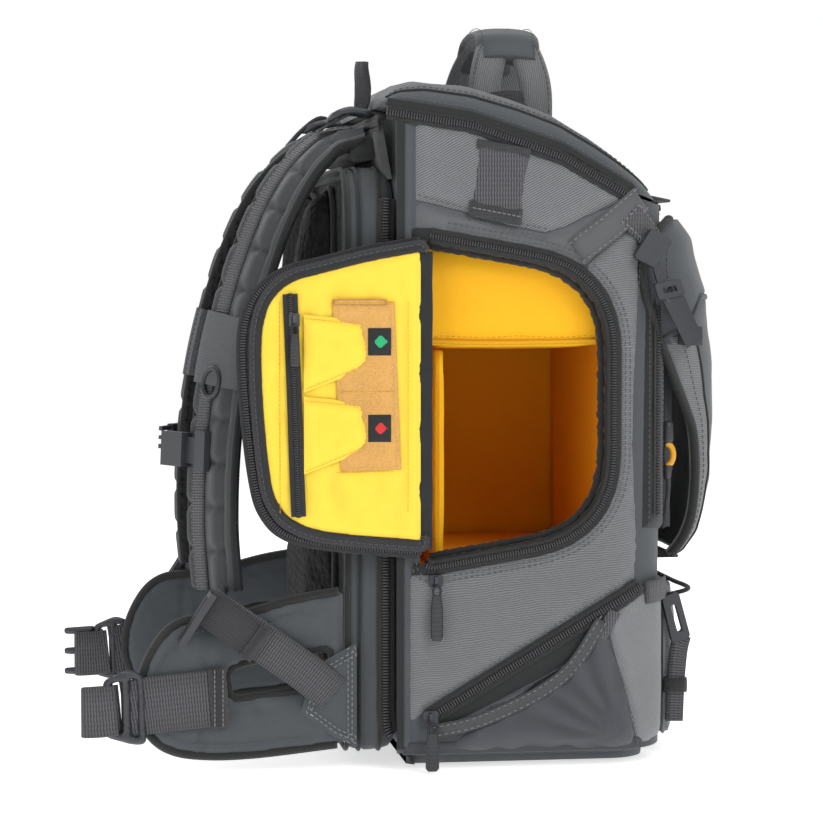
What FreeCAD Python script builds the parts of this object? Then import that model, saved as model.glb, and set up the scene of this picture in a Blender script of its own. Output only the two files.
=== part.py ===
"""Camera backpack: hollow shell, hinged side door and lid, folding front flap, harness, hip belt and zips.

Frame, in millimetres: +X out of the bag's front, away from the wearer; +Y to the wearer's right; +Z up.
The origin is on the flat underside, midway between the sides. The side door is stored open, folded back
flat beside the harness, and everything else is stored closed.
"""

import math
import os

import FreeCAD
import Part

V = FreeCAD.Vector

# --- driving dimensions -------------------------------------------------------------------------
BACK_X = -80.0  # rear wall of the main shell
FRONT_X = 128.0  # front wall of the main shell
HALF_WIDTH = 158.0  # the side walls stand this far from the middle
WALL = 5.0  # padded wall of shell and lid
BASE_H = 9.0  # base panel, floor to shell
FRONT_CORNER_R = 45.0
BACK_CORNER_R = 10.0
GAP = 0.5  # between pieces that lie on each other

# Seam where the lid meets the shell, from rear to front, as x and z.
LID_SEAM = [(-92.0, 492.0), (-25.0, 483.0), (43.0, 461.0), (96.0, 434.0), (119.0, 431.0)]
LID_TOP = [(111.0, 455.0), (98.0, 468.0), (68.0, 488.0), (-25.0, 512.0), (-60.0, 515.0), (-92.0, 506.0)]
RIDGE_Z = 429.0  # top of the front wall, under the lid's hinge

DOOR_HINGE_X = -61.0
DOOR_HINGE_Y = -HALF_WIDTH - 0.5
DOOR_TOP_Z = (397.0, 372.0)  # door opening's upper corners, at the hinge and at the free edge
DOOR_BOTTOM_Z = (152.0, 175.0)
DOOR_FREE_X = 82.0
DOOR_CORNER_R = 58.0
DOOR_T = 12.0

CASE_X = (-118.0, -80.6)  # laptop compartment behind the main shell
CASE_HALF_W = 145.0
CASE_Z = (14.0, 448.0)

LINER_X = (-74.4, 104.0)  # yellow camera compartment
LINER_Z = (142.0, 399.0)
LINER_WALL = 4.0
SHELF_Z = 314.0  # underside of the upper divider
DIVIDER_FACE_Y = (-136.0, -129.0)
BUCKLE_Y = -161.5  # middle plane of the flap's buckles

FLAP_HALF_W = 118.0
FLAP_WALL = 5.0

STRAP_W = 64.0
STRAP_T = 14.0
STRAP_TWIST = 28.0  # the lower straps turn their outer faces away from each other by this many degrees
# Left strap's middle: x, y, z, direction of its run in degrees above -X, and twist.
STRAP_STATIONS = [(-99, -88, 472, 0, 6), (-128, -89, 464, 30, 16), (-158, -91, 430, 60, 24),
                  (-182, -94, 376, 71, STRAP_TWIST), (-200, -98, 312, 78, STRAP_TWIST),
                  (-210, -103, 247, 85, STRAP_TWIST), (-213, -108, 185, 91, STRAP_TWIST),
                  (-210, -112, 133, 95, STRAP_TWIST)]

WING_Y = (140.0, 152.0)
BOTTOM_ZIP = ((-56.0, 40.0), (104.0, 135.0))  # ends of the slanting lower zip


# --- shape helpers ------------------------------------------------------------------------------
def box(x, y, z):
    """A box from three (low, high) pairs."""
    return Part.makeBox(x[1] - x[0], y[1] - y[0], z[1] - z[0], V(x[0], y[0], z[0]))


def rounded_wire(points, to_vector):
    """A closed wire through (a, b, radius) corners, each rounded by a tangent arc."""
    corners = [(to_vector(p[0], p[1]), p[2] if len(p) > 2 else 0.0) for p in points]
    count = len(corners)
    ends = []
    for i, (here, radius) in enumerate(corners):
        before = (corners[i - 1][0] - here).normalize()
        after = (corners[(i + 1) % count][0] - here).normalize()
        if radius <= 0:
            ends.append((here, None, here))
            continue
        half = before.getAngle(after) / 2
        reach = radius / math.tan(half)
        bisector = (before + after).normalize()
        middle = here + bisector * (radius / math.sin(half) - radius)
        ends.append((here + before * reach, middle, here + after * reach))
    edges = []
    for i, (enter, middle, leave) in enumerate(ends):
        if middle is not None:
            edges.append(Part.Arc(enter, middle, leave).toShape())
        following = ends[(i + 1) % count][0]
        if leave.distanceToPoint(following) > 1e-6:
            edges.append(Part.LineSegment(leave, following).toShape())
    return Part.Wire(edges)


def side_prism(points, y, inset=0.0):
    """A rounded x-z outline, optionally shrunk by inset, extruded over the y pair."""
    face = Part.Face(rounded_wire(points, lambda a, b: V(a, y[0], b)))
    if inset:
        face = face.makeOffset2D(-inset)
    return face.extrude(V(0, y[1] - y[0], 0))


def plan_prism(points, z):
    """A rounded x-y outline extruded over the z pair."""
    return Part.Face(rounded_wire(points, lambda a, b: V(a, b, z[0]))).extrude(V(0, 0, z[1] - z[0]))


def front_prism(points, x):
    """A rounded y-z outline extruded over the x pair."""
    return Part.Face(rounded_wire(points, lambda a, b: V(x[0], a, b))).extrude(V(x[1] - x[0], 0, 0))


def band(line, thickness, y, radius):
    """A strap: a bent x-z line given thickness and extruded over the y pair."""
    left, right = [], []
    for i, (x, z) in enumerate(line):
        x0, z0 = line[max(i - 1, 0)]
        x1, z1 = line[min(i + 1, len(line) - 1)]
        length = math.hypot(x1 - x0, z1 - z0)
        nx, nz = -(z1 - z0) / length, (x1 - x0) / length
        r = radius if 0 < i < len(line) - 1 else 0.0
        left.append((x + nx * thickness / 2, z + nz * thickness / 2, r))
        right.append((x - nx * thickness / 2, z - nz * thickness / 2, r))
    return side_prism(left + right[::-1], y)


def slanted(length, width, thickness, start, end, y):
    """A flat bar in the x-z plane along start to end, given its width, lying over y to y + thickness."""
    ux, uz = end[0] - start[0], end[1] - start[1]
    reach = math.hypot(ux, uz)
    ux, uz = ux / reach, uz / reach
    length = length or reach
    px, pz = -uz * width / 2, ux * width / 2
    tip = (start[0] + ux * length, start[1] + uz * length)
    corners = [(start[0] + px, start[1] + pz), (tip[0] + px, tip[1] + pz),
               (tip[0] - px, tip[1] - pz), (start[0] - px, start[1] - pz)]
    return side_prism(corners, (y, y + thickness))


def right_of(shape):
    """The mirror image on the wearer's right side."""
    return shape.mirror(V(0, 0, 0), V(0, 1, 0))


def both(shape):
    """The shape and its mirror image as two solids of one node."""
    return Part.makeCompound([shape, right_of(shape)])


def soften(shape, radius, chosen):
    """Rounds the edges that chosen(edge) picks, or returns the shape unchanged if that fails."""
    edges = [e for e in shape.Edges if chosen(e)]
    try:
        rounded = shape.makeFillet(radius, edges)
        return rounded if rounded.isValid() else shape
    except Part.OCCError:
        return shape


# --- main body ----------------------------------------------------------------------------------
def shell_plan(inset, z):
    """The bag's plan outline, rounded at its four upright corners."""
    back, front, side = BACK_X - 12 + inset, FRONT_X - inset, HALF_WIDTH - inset
    return plan_prism(
        [(back, -side, BACK_CORNER_R - inset), (front, -side, FRONT_CORNER_R - inset),
         (front, side, FRONT_CORNER_R - inset), (back, side, BACK_CORNER_R - inset)], z)


def seam_below(drop):
    """The lid seam lowered by drop, from front to rear."""
    return [(x, z - drop) for x, z in reversed(LID_SEAM)]


def door_outline(grow=0.0, x_of=lambda x: x):
    """Corners of the door opening, grown or shrunk, at the closed place or mapped by x_of."""
    hinge = DOOR_HINGE_X + 1.0
    free = DOOR_FREE_X + grow
    return [(x_of(hinge), DOOR_TOP_Z[0] + 2 * grow), (x_of(free), DOOR_TOP_Z[1] + grow, DOOR_CORNER_R),
            (x_of(free), DOOR_BOTTOM_Z[1] - grow, DOOR_CORNER_R), (x_of(hinge), DOOR_BOTTOM_Z[0] - 2 * grow)]


def opened(x):
    """Where a closed door's x lies once the door has swung half a turn."""
    return 2 * DOOR_HINGE_X - x


def main_shell():
    rear = [(BACK_X, BASE_H), (FRONT_X, BASE_H), (FRONT_X, RIDGE_Z), (121.0, RIDGE_Z)]
    outline = rear + seam_below(3.0)[1:] + [(BACK_X, 453.0)]
    body = shell_plan(0.0, (BASE_H, 500.0)).common(side_prism(outline, (-200, 200)))
    hollow = [(BACK_X + WALL, BASE_H + WALL), (FRONT_X - WALL, BASE_H + WALL), (FRONT_X - WALL, RIDGE_Z - WALL),
              (114.0, RIDGE_Z - WALL), (114.0, 520.0), (-86.0, 520.0), (-86.0, 486.0), (BACK_X + WALL, 453.0)]
    space = shell_plan(WALL, (BASE_H, 520.0)).common(side_prism(hollow, (-200, 200)))
    doorway = side_prism(door_outline(), (-170, -140))
    return body.cut(space).cut(doorway)


def base_panel():
    plate = plan_prism([(-84, -140, 20), (122, -140, 40), (122, 140, 40), (-84, 140, 20)], (0, BASE_H - 0.2))
    return soften(plate, 6.0, lambda e: e.BoundBox.ZMax < 0.1)


def camera_liner():
    """Padded floor and walls, open at the top and towards the side door."""
    def block(inset, z):
        low, high, side, r = LINER_X[0] + inset, LINER_X[1] - inset, 152.4 - inset, 22 - inset
        return plan_prism([(low, -side), (high, -side, r), (high, side, r), (low, side)], z)
    inner_z = (LINER_Z[0] + LINER_WALL, LINER_Z[1] + 10)
    mouth = box((LINER_X[0] + LINER_WALL, DOOR_FREE_X), (-160, -140), inner_z)
    return block(0.0, LINER_Z).cut(block(LINER_WALL, inner_z)).cut(mouth)


def upper_divider():
    """Floor of the upper compartment and the padded wall that faces the side door."""
    x = (LINER_X[0] + LINER_WALL + 0.5, 90.0)
    face = box(x, DIVIDER_FACE_Y, (SHELF_Z, 440))
    shelf = box(x, (DIVIDER_FACE_Y[1], 146), (SHELF_Z, SHELF_Z + 6))
    return face.fuse(shelf).removeSplitter()


def cell_divider():
    return box((-46, -40), (-128, 147), (LINER_Z[0] + LINER_WALL + 0.3, SHELF_Z - 0.3))


def laptop_case():
    """A shallow tray whose open side is closed by the shell's rear wall."""
    def tray(inset, x):
        w, z0, z1 = CASE_HALF_W - inset, CASE_Z[0] + inset, CASE_Z[1] - inset
        return front_prism([(-w, z0, 14), (w, z0, 14), (w, z1, 45), (-w, z1, 45)], x)
    outer = soften(tray(0.0, CASE_X), 8.0, lambda e: e.BoundBox.XMax < CASE_X[0] + 0.1)
    return outer.cut(tray(4.0, (CASE_X[0] + 4.0, CASE_X[1] + 1.0)))


def frame_sheet():
    x = CASE_X[0] + 4.2
    return front_prism([(-128, 30, 20), (128, 30, 20), (128, 430, 40), (-128, 430, 40)], (x, x + 2.0))


def harness_pads():
    """Lumbar pad, two upper back pads and the yoke that the shoulder straps are sewn into."""
    x = (CASE_X[0] - 10.0, CASE_X[0] - 0.2)
    lumbar = front_prism([(-112, 62, 20), (112, 62, 20), (112, 185, 20), (-112, 185, 20)], x)
    upper = front_prism([(-112, 235, 18), (-16, 235, 18), (-16, 425, 18), (-112, 425, 30)], x)
    yoke = box((-111, -93), (-118, 118), (448.5, 453))
    return Part.makeCompound([lumbar, upper, right_of(upper), yoke])


# --- zips ---------------------------------------------------------------------------------------
def door_opening_zip():
    ring = side_prism(door_outline(7.0), (-160.2, -HALF_WIDTH - 0.2))
    ring = ring.cut(side_prism(door_outline(0.0), (-170, -150)))
    return ring.cut(box((-100, DOOR_HINGE_X + 2.5), (-170, -150), (100, 450)))


def bottom_zip():
    return slanted(0, 12, 2.0, BOTTOM_ZIP[0], BOTTOM_ZIP[1], -160.2)


def laptop_zip():
    tape = band([(-83, 24), (-84, 60), (-81, 110), (-79, 160), (-82, 380), (-84, 425)], 8.0,
                (-CASE_HALF_W - 2.2, -CASE_HALF_W - 0.2), 60.0)
    return tape.cut(box((BACK_X - 0.3, 0), (-160, -130), (0, 500)))


def top_zip():
    """Fixed half of the lid's zip: a raised tape along the shell's upper edge, both sides and rear."""
    outline = [(x, z - 4) for x, z in LID_SEAM[:-1]] + [(x, z - 12) for x, z in reversed(LID_SEAM[:-1])]
    sides = side_prism(outline, (-HALF_WIDTH - 2.2, -HALF_WIDTH - 0.2))
    return both(sides.cut(box((-200, -80), (-200, 0), (0, 600))))


def slider(centre, size, y):
    """A zip slider body on the left side: a rounded block with a bridge for the pull."""
    w, h = size
    x, z = centre
    body = side_prism([(x - w / 2, z - h / 2, 1.5), (x + w / 2, z - h / 2, 1.5),
                       (x + w / 2, z + h / 2, 1.5), (x - w / 2, z + h / 2, 1.5)], (y - 2.4, y))
    bridge = box((x - 1.2, x + 1.2), (y - 5.0, y - 2.4), (z - 3.5, z + 3.5))
    hole = box((x - 2, x + 2), (y - 3.9, y - 2.5), (z - 2.2, z + 2.2))
    return body.fuse(bridge).cut(hole)


def hanging_pull(pin, length, width, y):
    """A webbing pull that hangs from (x, z) on the slider's bridge by a wire loop."""
    x, z = pin
    tab = side_prism([(x - width / 2, z - length, 1.5), (x + width / 2, z - length, 1.5),
                      (x + width / 2, z - 12, 1.5), (x - width / 2, z - 12, 1.5)], (y - 2.0, y + 1.0))
    loop = box((x - 3.4, x + 3.4), (y - 1.2, y + 0.2), (z - 12, z - 2.9))
    eye = box((x - 1.9, x + 1.9), (y - 3, y + 3), (z - 9, z - 4.2))
    return tab.fuse(loop.cut(eye))


# --- side door, modelled where it lies when it is open ------------------------------------------
def door_layer(inset, depth):
    """A layer of the open door: inset from its edge, over the depth pair measured from its outer face."""
    y = (2 * DOOR_HINGE_Y + HALF_WIDTH - depth[1], 2 * DOOR_HINGE_Y + HALF_WIDTH - depth[0])
    slab = side_prism(door_outline(-inset, opened), y)
    return slab.cut(box((DOOR_HINGE_X - 2.5, 0), (-300, 0), (0, 600)))


def door_panel():
    return door_layer(6.0, (0.0, 8.0))


def door_lining():
    return door_layer(13.0, (8.2, DOOR_T - 1.0))


def door_zip():
    outer = door_layer(1.6, (0.0, 2.0))
    return outer.cut(side_prism(door_outline(-5.8, opened), (-200, -100)))


def on_door(outline, depth):
    """A flat piece sewn on the lining, over the depth pair above the door's outer face."""
    y0 = 2 * DOOR_HINGE_Y + HALF_WIDTH
    return side_prism(outline, (y0 - depth[1], y0 - depth[0]))


def door_card_pockets():
    """Mesh window, two pocket flaps and the two woven squares that mark full and empty cards."""
    mesh = on_door([(-131, 216), (-82, 214), (-82, 338), (-133, 338)], (DOOR_T - 0.8, DOOR_T - 0.4))
    pieces = [mesh]
    for low in (232.0, 292.0):
        flap = [(-147, low - 2), (-112, low + 6, 3), (-106, low + 34, 4), (-147, low + 42)]
        pieces.append(on_door(flap, (DOOR_T - 0.2, DOOR_T + 0.6)))
        square = [(-105, low + 2), (-89, low + 2), (-89, low + 22), (-105, low + 22)]
        pieces.append(on_door(square, (DOOR_T - 0.2, DOOR_T + 0.4)))
    return Part.makeCompound(pieces)


def pocket_zip():
    return on_door([(-163, 190), (-151, 190), (-153, 354), (-165, 354)], (DOOR_T - 0.8, DOOR_T + 0.2))


# --- lid and handle -----------------------------------------------------------------------------
def lid_solid(inset, drop):
    """The lid's block: the bag's plan shape between its seam and its domed top."""
    seam = [(x, z - drop) for x, z in LID_SEAM]
    top = [(x, z - inset) for x, z in LID_TOP]
    block = shell_plan(inset, (400.0, 540.0)).common(side_prism(seam + top, (-200, 200)))
    return block.cut(box((119.0 - inset, 200), (-200, 200), (300, 600)))


def lid_shell():
    outer = soften(lid_solid(0.0, 0.0), 9.0,
                   lambda e: e.BoundBox.ZMin > 455 and e.BoundBox.YLength < 1 and abs(e.CenterOfMass.y) > 150)
    inner = lid_solid(WALL, 20.0)
    return outer.cut(inner)


def lid_zip():
    """Moving half of the lid's zip, a raised tape just above the seam."""
    outline = [(x, z + 9) for x, z in LID_SEAM[:-1]] + [(x, z + 1) for x, z in reversed(LID_SEAM[:-1])]
    sides = side_prism(outline, (-HALF_WIDTH - 2.2, -HALF_WIDTH - 0.2))
    return both(sides.cut(box((-200, -80), (-200, 0), (0, 600))))


def carry_handle():
    """A padded strap arched from side to side, wider at its feet, with a slot in each leg."""
    arch = [(-78, 470), (-64, 520, 20), (-44, 558, 22), (44, 558, 22), (64, 520, 20), (78, 470)]
    hollow = [(-70, 460), (-56, 517, 18), (-38, 550, 18), (38, 550, 18), (56, 517, 18), (70, 460)]
    strap = front_prism(arch, (-22, 44)).cut(front_prism(hollow, (-30, 60)))
    taper = side_prism([(-24, 460), (46, 460), (36, 575, 4), (-6, 575, 4)], (-90, 90))
    slot = side_prism([(2, 440), (20, 440), (18, 534, 5), (6, 534, 5)], (-90, 90))
    strap = strap.common(taper).cut(slot)
    return strap.cut(lid_solid(-0.3, 30.0))


# --- pockets, straps and buckles on the body ----------------------------------------------------
def side_pocket():
    """Stretch pocket on the left: a skin held off the shell, open along its slanting hem."""
    skin = [(-60, 10, 4), (104, 10, 12), (92, 70), (74, 106), (50, 76), (20, 50), (-20, 34), (-60, 30)]
    outer = side_prism(skin, (-168, -HALF_WIDTH - 0.2))
    room = [(-56, 14, 4), (96, 14, 10), (86, 68), (71, 90), (120, 140), (20, 120), (-56, 120)]
    return outer.cut(side_prism(room, (-166, -150)))


def front_pocket():
    """Zipped organiser pocket under the flap, flat when it is empty."""
    return front_prism([(-108, 172, 14), (108, 172, 14), (108, 396, 14), (-108, 396, 14)], (FRONT_X + 0.3, 140.0))


def lower_front_pocket():
    x = (FRONT_X + 0.3, 156.0)
    pad = front_prism([(-112, 12, 18), (112, 12, 18), (112, 128, 22), (-112, 128, 22)], x)
    return soften(pad, 8.0, lambda e: e.BoundBox.XMin > x[1] - 0.1)


def side_webbing():
    """Vertical attachment strip near the top of each side, sewn at both ends."""
    strip = box((-24, 14), (-162.4, -160.4), (410, 458))
    feet = [box((-24, 14), (-160.4, -HALF_WIDTH - 0.2), z) for z in ((410, 418), (450, 458))]
    return both(strip.fuse(feet).removeSplitter())


def upper_straps():
    """Webbing from the top of each side to the flap's buckles."""
    return both(slanted(0, 30, 1.6, (58, 400), (97, 408), -160.2))


def buckle_socket():
    """Female half: two plates joined along the rear edge, open where the plug leaves."""
    outer = side_prism([(96, 382, 3), (112, 374, 3), (126, 394, 3), (110, 404, 3)], (BUCKLE_Y - 5, BUCKLE_Y + 5))
    slot = side_prism([(92, 368.3), (120, 412.3), (160, 412), (160, 350), (92, 350)], (BUCKLE_Y - 2.3, BUCKLE_Y + 2.3))
    return outer.cut(slot)


def buckle_plug():
    """Male half: a tongue between the socket's plates, and the bar that its webbing turns round."""
    tongue = side_prism([(106, 384), (113, 380), (119, 389), (112, 391)], (BUCKLE_Y - 2, BUCKLE_Y + 2))
    stem = side_prism([(109, 382), (115, 378), (126, 358), (117, 356)], (BUCKLE_Y - 2, BUCKLE_Y + 2))
    bar = side_prism([(112, 362, 2), (132, 366, 2), (136, 354, 2), (116, 350, 2)], (BUCKLE_Y - 3, BUCKLE_Y + 3))
    eye = side_prism([(118, 359), (128, 361), (130, 357), (120, 355)], (-170, -150))
    return stem.fuse(tongue).fuse(bar).cut(eye).removeSplitter()


def lower_straps():
    """Compression webbing on the lower front corners, with its folded tail and elastic keeper."""
    upper = box((110, 128), (-160.2, -158.3), (120, 136))
    tail = box((133, 147), (-117.4, -114.0), (24, 82))
    keeper = box((131.5, 148.5), (-119.8, -117.6), (48, 60))
    return Part.makeCompound([both(upper), both(tail), both(keeper)])


def lower_buckles():
    """Closed side-release buckles at the lower front corners."""
    frame = side_prism([(129.5, 121, 3), (142, 127, 3), (152, 91, 3), (138, 86, 3)], (-121, -114))
    window = side_prism([(136, 115, 2), (140, 117, 2), (146, 96, 2), (142, 94, 2)], (-130, -100))
    return both(frame.cut(window))


def load_lifters():
    """Webbing and buckle that pull the top of each shoulder strap to the bag, with the upright tail."""
    webbing = box((-124, -93), (-102, -78), (487, 489))
    buckle = box((-118, -102), (-105, -75), (489.2, 494)).cut(box((-112, -108), (-101, -79), (480, 500)))
    tail = box((-98, -95), (-100, -80), (489.2, 527))
    return Part.makeCompound([both(webbing), both(buckle), both(tail)])


def bungee_cord():
    """Elastic cord from the organiser pocket's edge up to its hook, as a tube of runs and arcs."""
    diameter = 3.2
    route = [V(132, -108.6, 174), V(132, -116, 182), V(131.5, -127.5, 202), V(131.5, -127.5, 222)]
    edges, start = [], route[0]
    for i in range(1, len(route) - 1):
        here = route[i]
        into, out = here - route[i - 1], route[i + 1] - here
        turn = into.getAngle(out)
        reach = 0.45 * min(into.Length, out.Length)
        radius = reach / math.tan(turn / 2)
        enter, leave = here - into.normalize() * reach, here + out.normalize() * reach
        middle = (enter + leave) / 2
        towards = (here - middle).normalize()
        edges += [Part.LineSegment(start, enter).toShape(),
                  Part.Arc(enter, middle + towards * radius * (1 - math.cos(turn / 2)), leave).toShape()]
        start = leave
    edges.append(Part.LineSegment(start, route[-1]).toShape())
    path = Part.Wire(edges)
    section = Part.Wire(Part.makeCircle(diameter / 2, route[0], route[1] - route[0]))
    return path.makePipeShell([section], True, True)


def bungee_hook():
    """Moulded toggle at the top of the elastic cord."""
    body = Part.makeCylinder(4.5, 20, V(131.5, -127.5, 222.2))
    cap = Part.makeCone(4.5, 3.2, 16, V(131.5, -127.5, 242.2))
    return body.fuse(cap)


# --- flap ---------------------------------------------------------------------------------------
def flap_outline(inset, rear):
    """The flap's side outline: a bowed front, and a rear edge moved back by rear."""
    return [(140 - rear, 156 + inset), (160 - inset, 152 + inset, 8), (179 - inset, 215, 60), (181 - inset, 300, 60),
            (158 - inset, 398, 20), (150 - inset, 414 - inset, 6), (131 - rear, 404 - inset),
            (131 - rear, 340), (133 - rear, 240)]


def front_flap():
    outer = side_prism(flap_outline(0.0, 0.0), (-FLAP_HALF_W, FLAP_HALF_W))
    inner = side_prism(flap_outline(FLAP_WALL, 20.0), (-FLAP_HALF_W + FLAP_WALL, FLAP_HALF_W - FLAP_WALL))
    wide_mouth = box((120, 143.5), (-110, 110), (165, 420))
    return outer.cut(inner).cut(wide_mouth)


def flap_straps_and_plugs():
    """Male buckle halves with the flap webbing that carries them."""
    webbing = side_prism([(118, 352), (134, 356), (150, 322), (138, 314)], (BUCKLE_Y - 1, BUCKLE_Y + 1))
    joiner = box((138, 150), (BUCKLE_Y + 1.2, -FLAP_HALF_W - 0.2), (316, 330))
    return both(buckle_plug().fuse([webbing, joiner]).removeSplitter())


# --- harness ------------------------------------------------------------------------------------
def strap_section(station):
    """Cross-section of the left strap: a rounded rectangle across its run, turned by the twist."""
    x, y, z, run, twist = station
    run, twist = math.radians(run), math.radians(twist)
    outward = V(-math.sin(run), 0, math.cos(run))
    across = V(0, -math.cos(twist), 0) - outward * math.sin(twist)
    normal = outward * math.cos(twist) + V(0, -math.sin(twist), 0)
    centre, w, t = V(x, y, z), STRAP_W / 2, STRAP_T / 2
    corners = [centre + across * (a * w) + normal * (b * t) for a, b in ((-1, -1), (1, -1), (1, 1), (-1, 1))]
    return Part.makePolygon(corners + [corners[0]])


def shoulder_strap():
    return Part.makeLoft([strap_section(s) for s in STRAP_STATIONS], True, True)


def on_strap(shape, height):
    """Places a shape made around the origin on the left strap's outer face at the given height."""
    below, above = [(a, b) for a, b in zip(STRAP_STATIONS[1:], STRAP_STATIONS) if a[2] <= height <= b[2]][0]
    part = (height - below[2]) / (above[2] - below[2])
    x = below[0] + (above[0] - below[0]) * part
    y = below[1] + (above[1] - below[1]) * part
    lean = math.degrees(math.atan2(above[0] - below[0], above[2] - below[2]))
    placed = shape.copy()
    placed.rotate(V(0, 0, 0), V(0, 1, 0), lean)
    placed.rotate(V(0, 0, 0), V(0, 0, 1), STRAP_TWIST)
    placed.translate(V(x, y, height))
    return placed


def ladder_lock():
    """Two-bar adjuster outside the hip wing, where the strap's lower webbing turns back."""
    plate = box((-22, 22), (-171, -153), (-2.5, 2.5))
    for y in (-167, -159.5):
        plate = plate.cut(box((-18, 18), (y - 2.5, y + 2.5), (-5, 5)))
    plate.rotate(V(0, 0, 0), V(0, 1, 0), -57)
    plate.translate(V(-229, 0, 117))
    return plate


def strap_ring():
    """A round ring that lies against the strap's outer face."""
    return on_strap(Part.makeTorus(11, 2.0, V(-STRAP_T / 2 - 4.6, 0, 0), V(1, 0, 0)), 286.0)


def chest_half(plug):
    """A chest-strap half: rail clip and webbing stub, then a socket or a plug, pointing to the middle."""
    x = (-13.5, -10.5)
    clip = box((-14.5, -9.5), (-6, 8), (-15, 15))
    stub = box(x, (8, 22), (-10, 10))
    if plug:
        end = box((x[0] - 1, x[1] + 1), (22, 32), (-10, 10))
        prongs = [box(x, (32, 50), z) for z in ((-9, -5.5), (5.5, 9), (-1.5, 1.5))]
        return on_strap(clip.fuse([stub, end] + prongs), 236.0)
    sleeve = box((x[0] - 4, x[1] + 2), (22, 52), (-13, 13))
    sleeve = sleeve.cut(box((x[0] - 0.8, x[1] + 0.8), (30, 60), (-10, 10)))
    return on_strap(clip.fuse([stub, sleeve]), 236.0)


def wing_solid():
    """Left half of the hip belt: a forked pad with a triangular hole between its arms."""
    pad = [(-119.5, 134, 3), (-160, 128, 40), (-200, 115, 40), (-246, 116, 26), (-270, 78, 30),
           (-272, 40, 24), (-252, 16, 20), (-204, 11, 60), (-119.5, 20, 3)]
    hole = [(-128, 92, 6), (-175, 86, 30), (-207, 78, 10), (-204, 54, 8), (-165, 59, 30), (-128, 62, 6)]
    y = (-WING_Y[1], -WING_Y[0])
    return side_prism(pad, y).cut(side_prism(hole, (-170, -120)))


def stabiliser_strap():
    """Webbing outside the wing, from its sewn gusset up to the ladder lock, and the lock's link to the strap."""
    y = -WING_Y[1] - 5.0
    web = slanted(86, 30, 1.8, (-132, 66), (-217, 123), y)
    gusset = side_prism([(-112, 22), (-112, 92), (-142, 76), (-150, 46)], (y + 2.0, y + 4.2))
    link = plan_prism([(-204, -126), (-206, -127), (-219.5, -152), (-217.5, -152)], (119.5, 131.5))
    return Part.makeCompound([web, gusset, link])


def waist_half(plug):
    """Belt webbing with its buckle half: a socket on the left, a plug on the right."""
    y = -WING_Y[1] - 2.6
    webbing = side_prism([(-288, 32), (-216, 42), (-216, 80), (-288, 72)], (y, y + 2.2))
    if plug:
        body = box((-302, -287.8), (y - 3, y + 7), (30, 74))
        prongs = [box((-322, -302), (y, y + 4), z) for z in ((32, 38), (66, 72), (50, 54))]
        return Part.makeCompound([webbing, body.fuse(prongs)])
    body = box((-318, -288.3), (y - 5, y + 9), (28, 76))
    body = body.cut(box((-320, -296), (y - 1, y + 5), (31, 73)))
    for z in ((34, 46), (58, 70)):
        body = body.cut(box((-308, -300), (-200, -100), z))
    return Part.makeCompound([webbing, body])


# --- sliders ------------------------------------------------------------------------------------
def front_ridge_slider():
    """Slider of the short zip across the front ridge."""
    body = box((FRONT_X + 0.3, FRONT_X + 3), (-66, -54), (415, 425))
    bridge = box((FRONT_X + 3, FRONT_X + 6), (-61.5, -58.5), (417, 423))
    return body.fuse(bridge)


def front_ridge_pull():
    return box((FRONT_X + 6.7, FRONT_X + 9.4), (-64, -56), (410, 424))


def lid_rear_slider():
    """Slider at the middle of the lid's rear edge."""
    return box((-96.4, -92.4), (24, 36), (477, 486))


def lid_rear_pull():
    return box((-100.0, -97.1), (25, 35), (462, 484))


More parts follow.
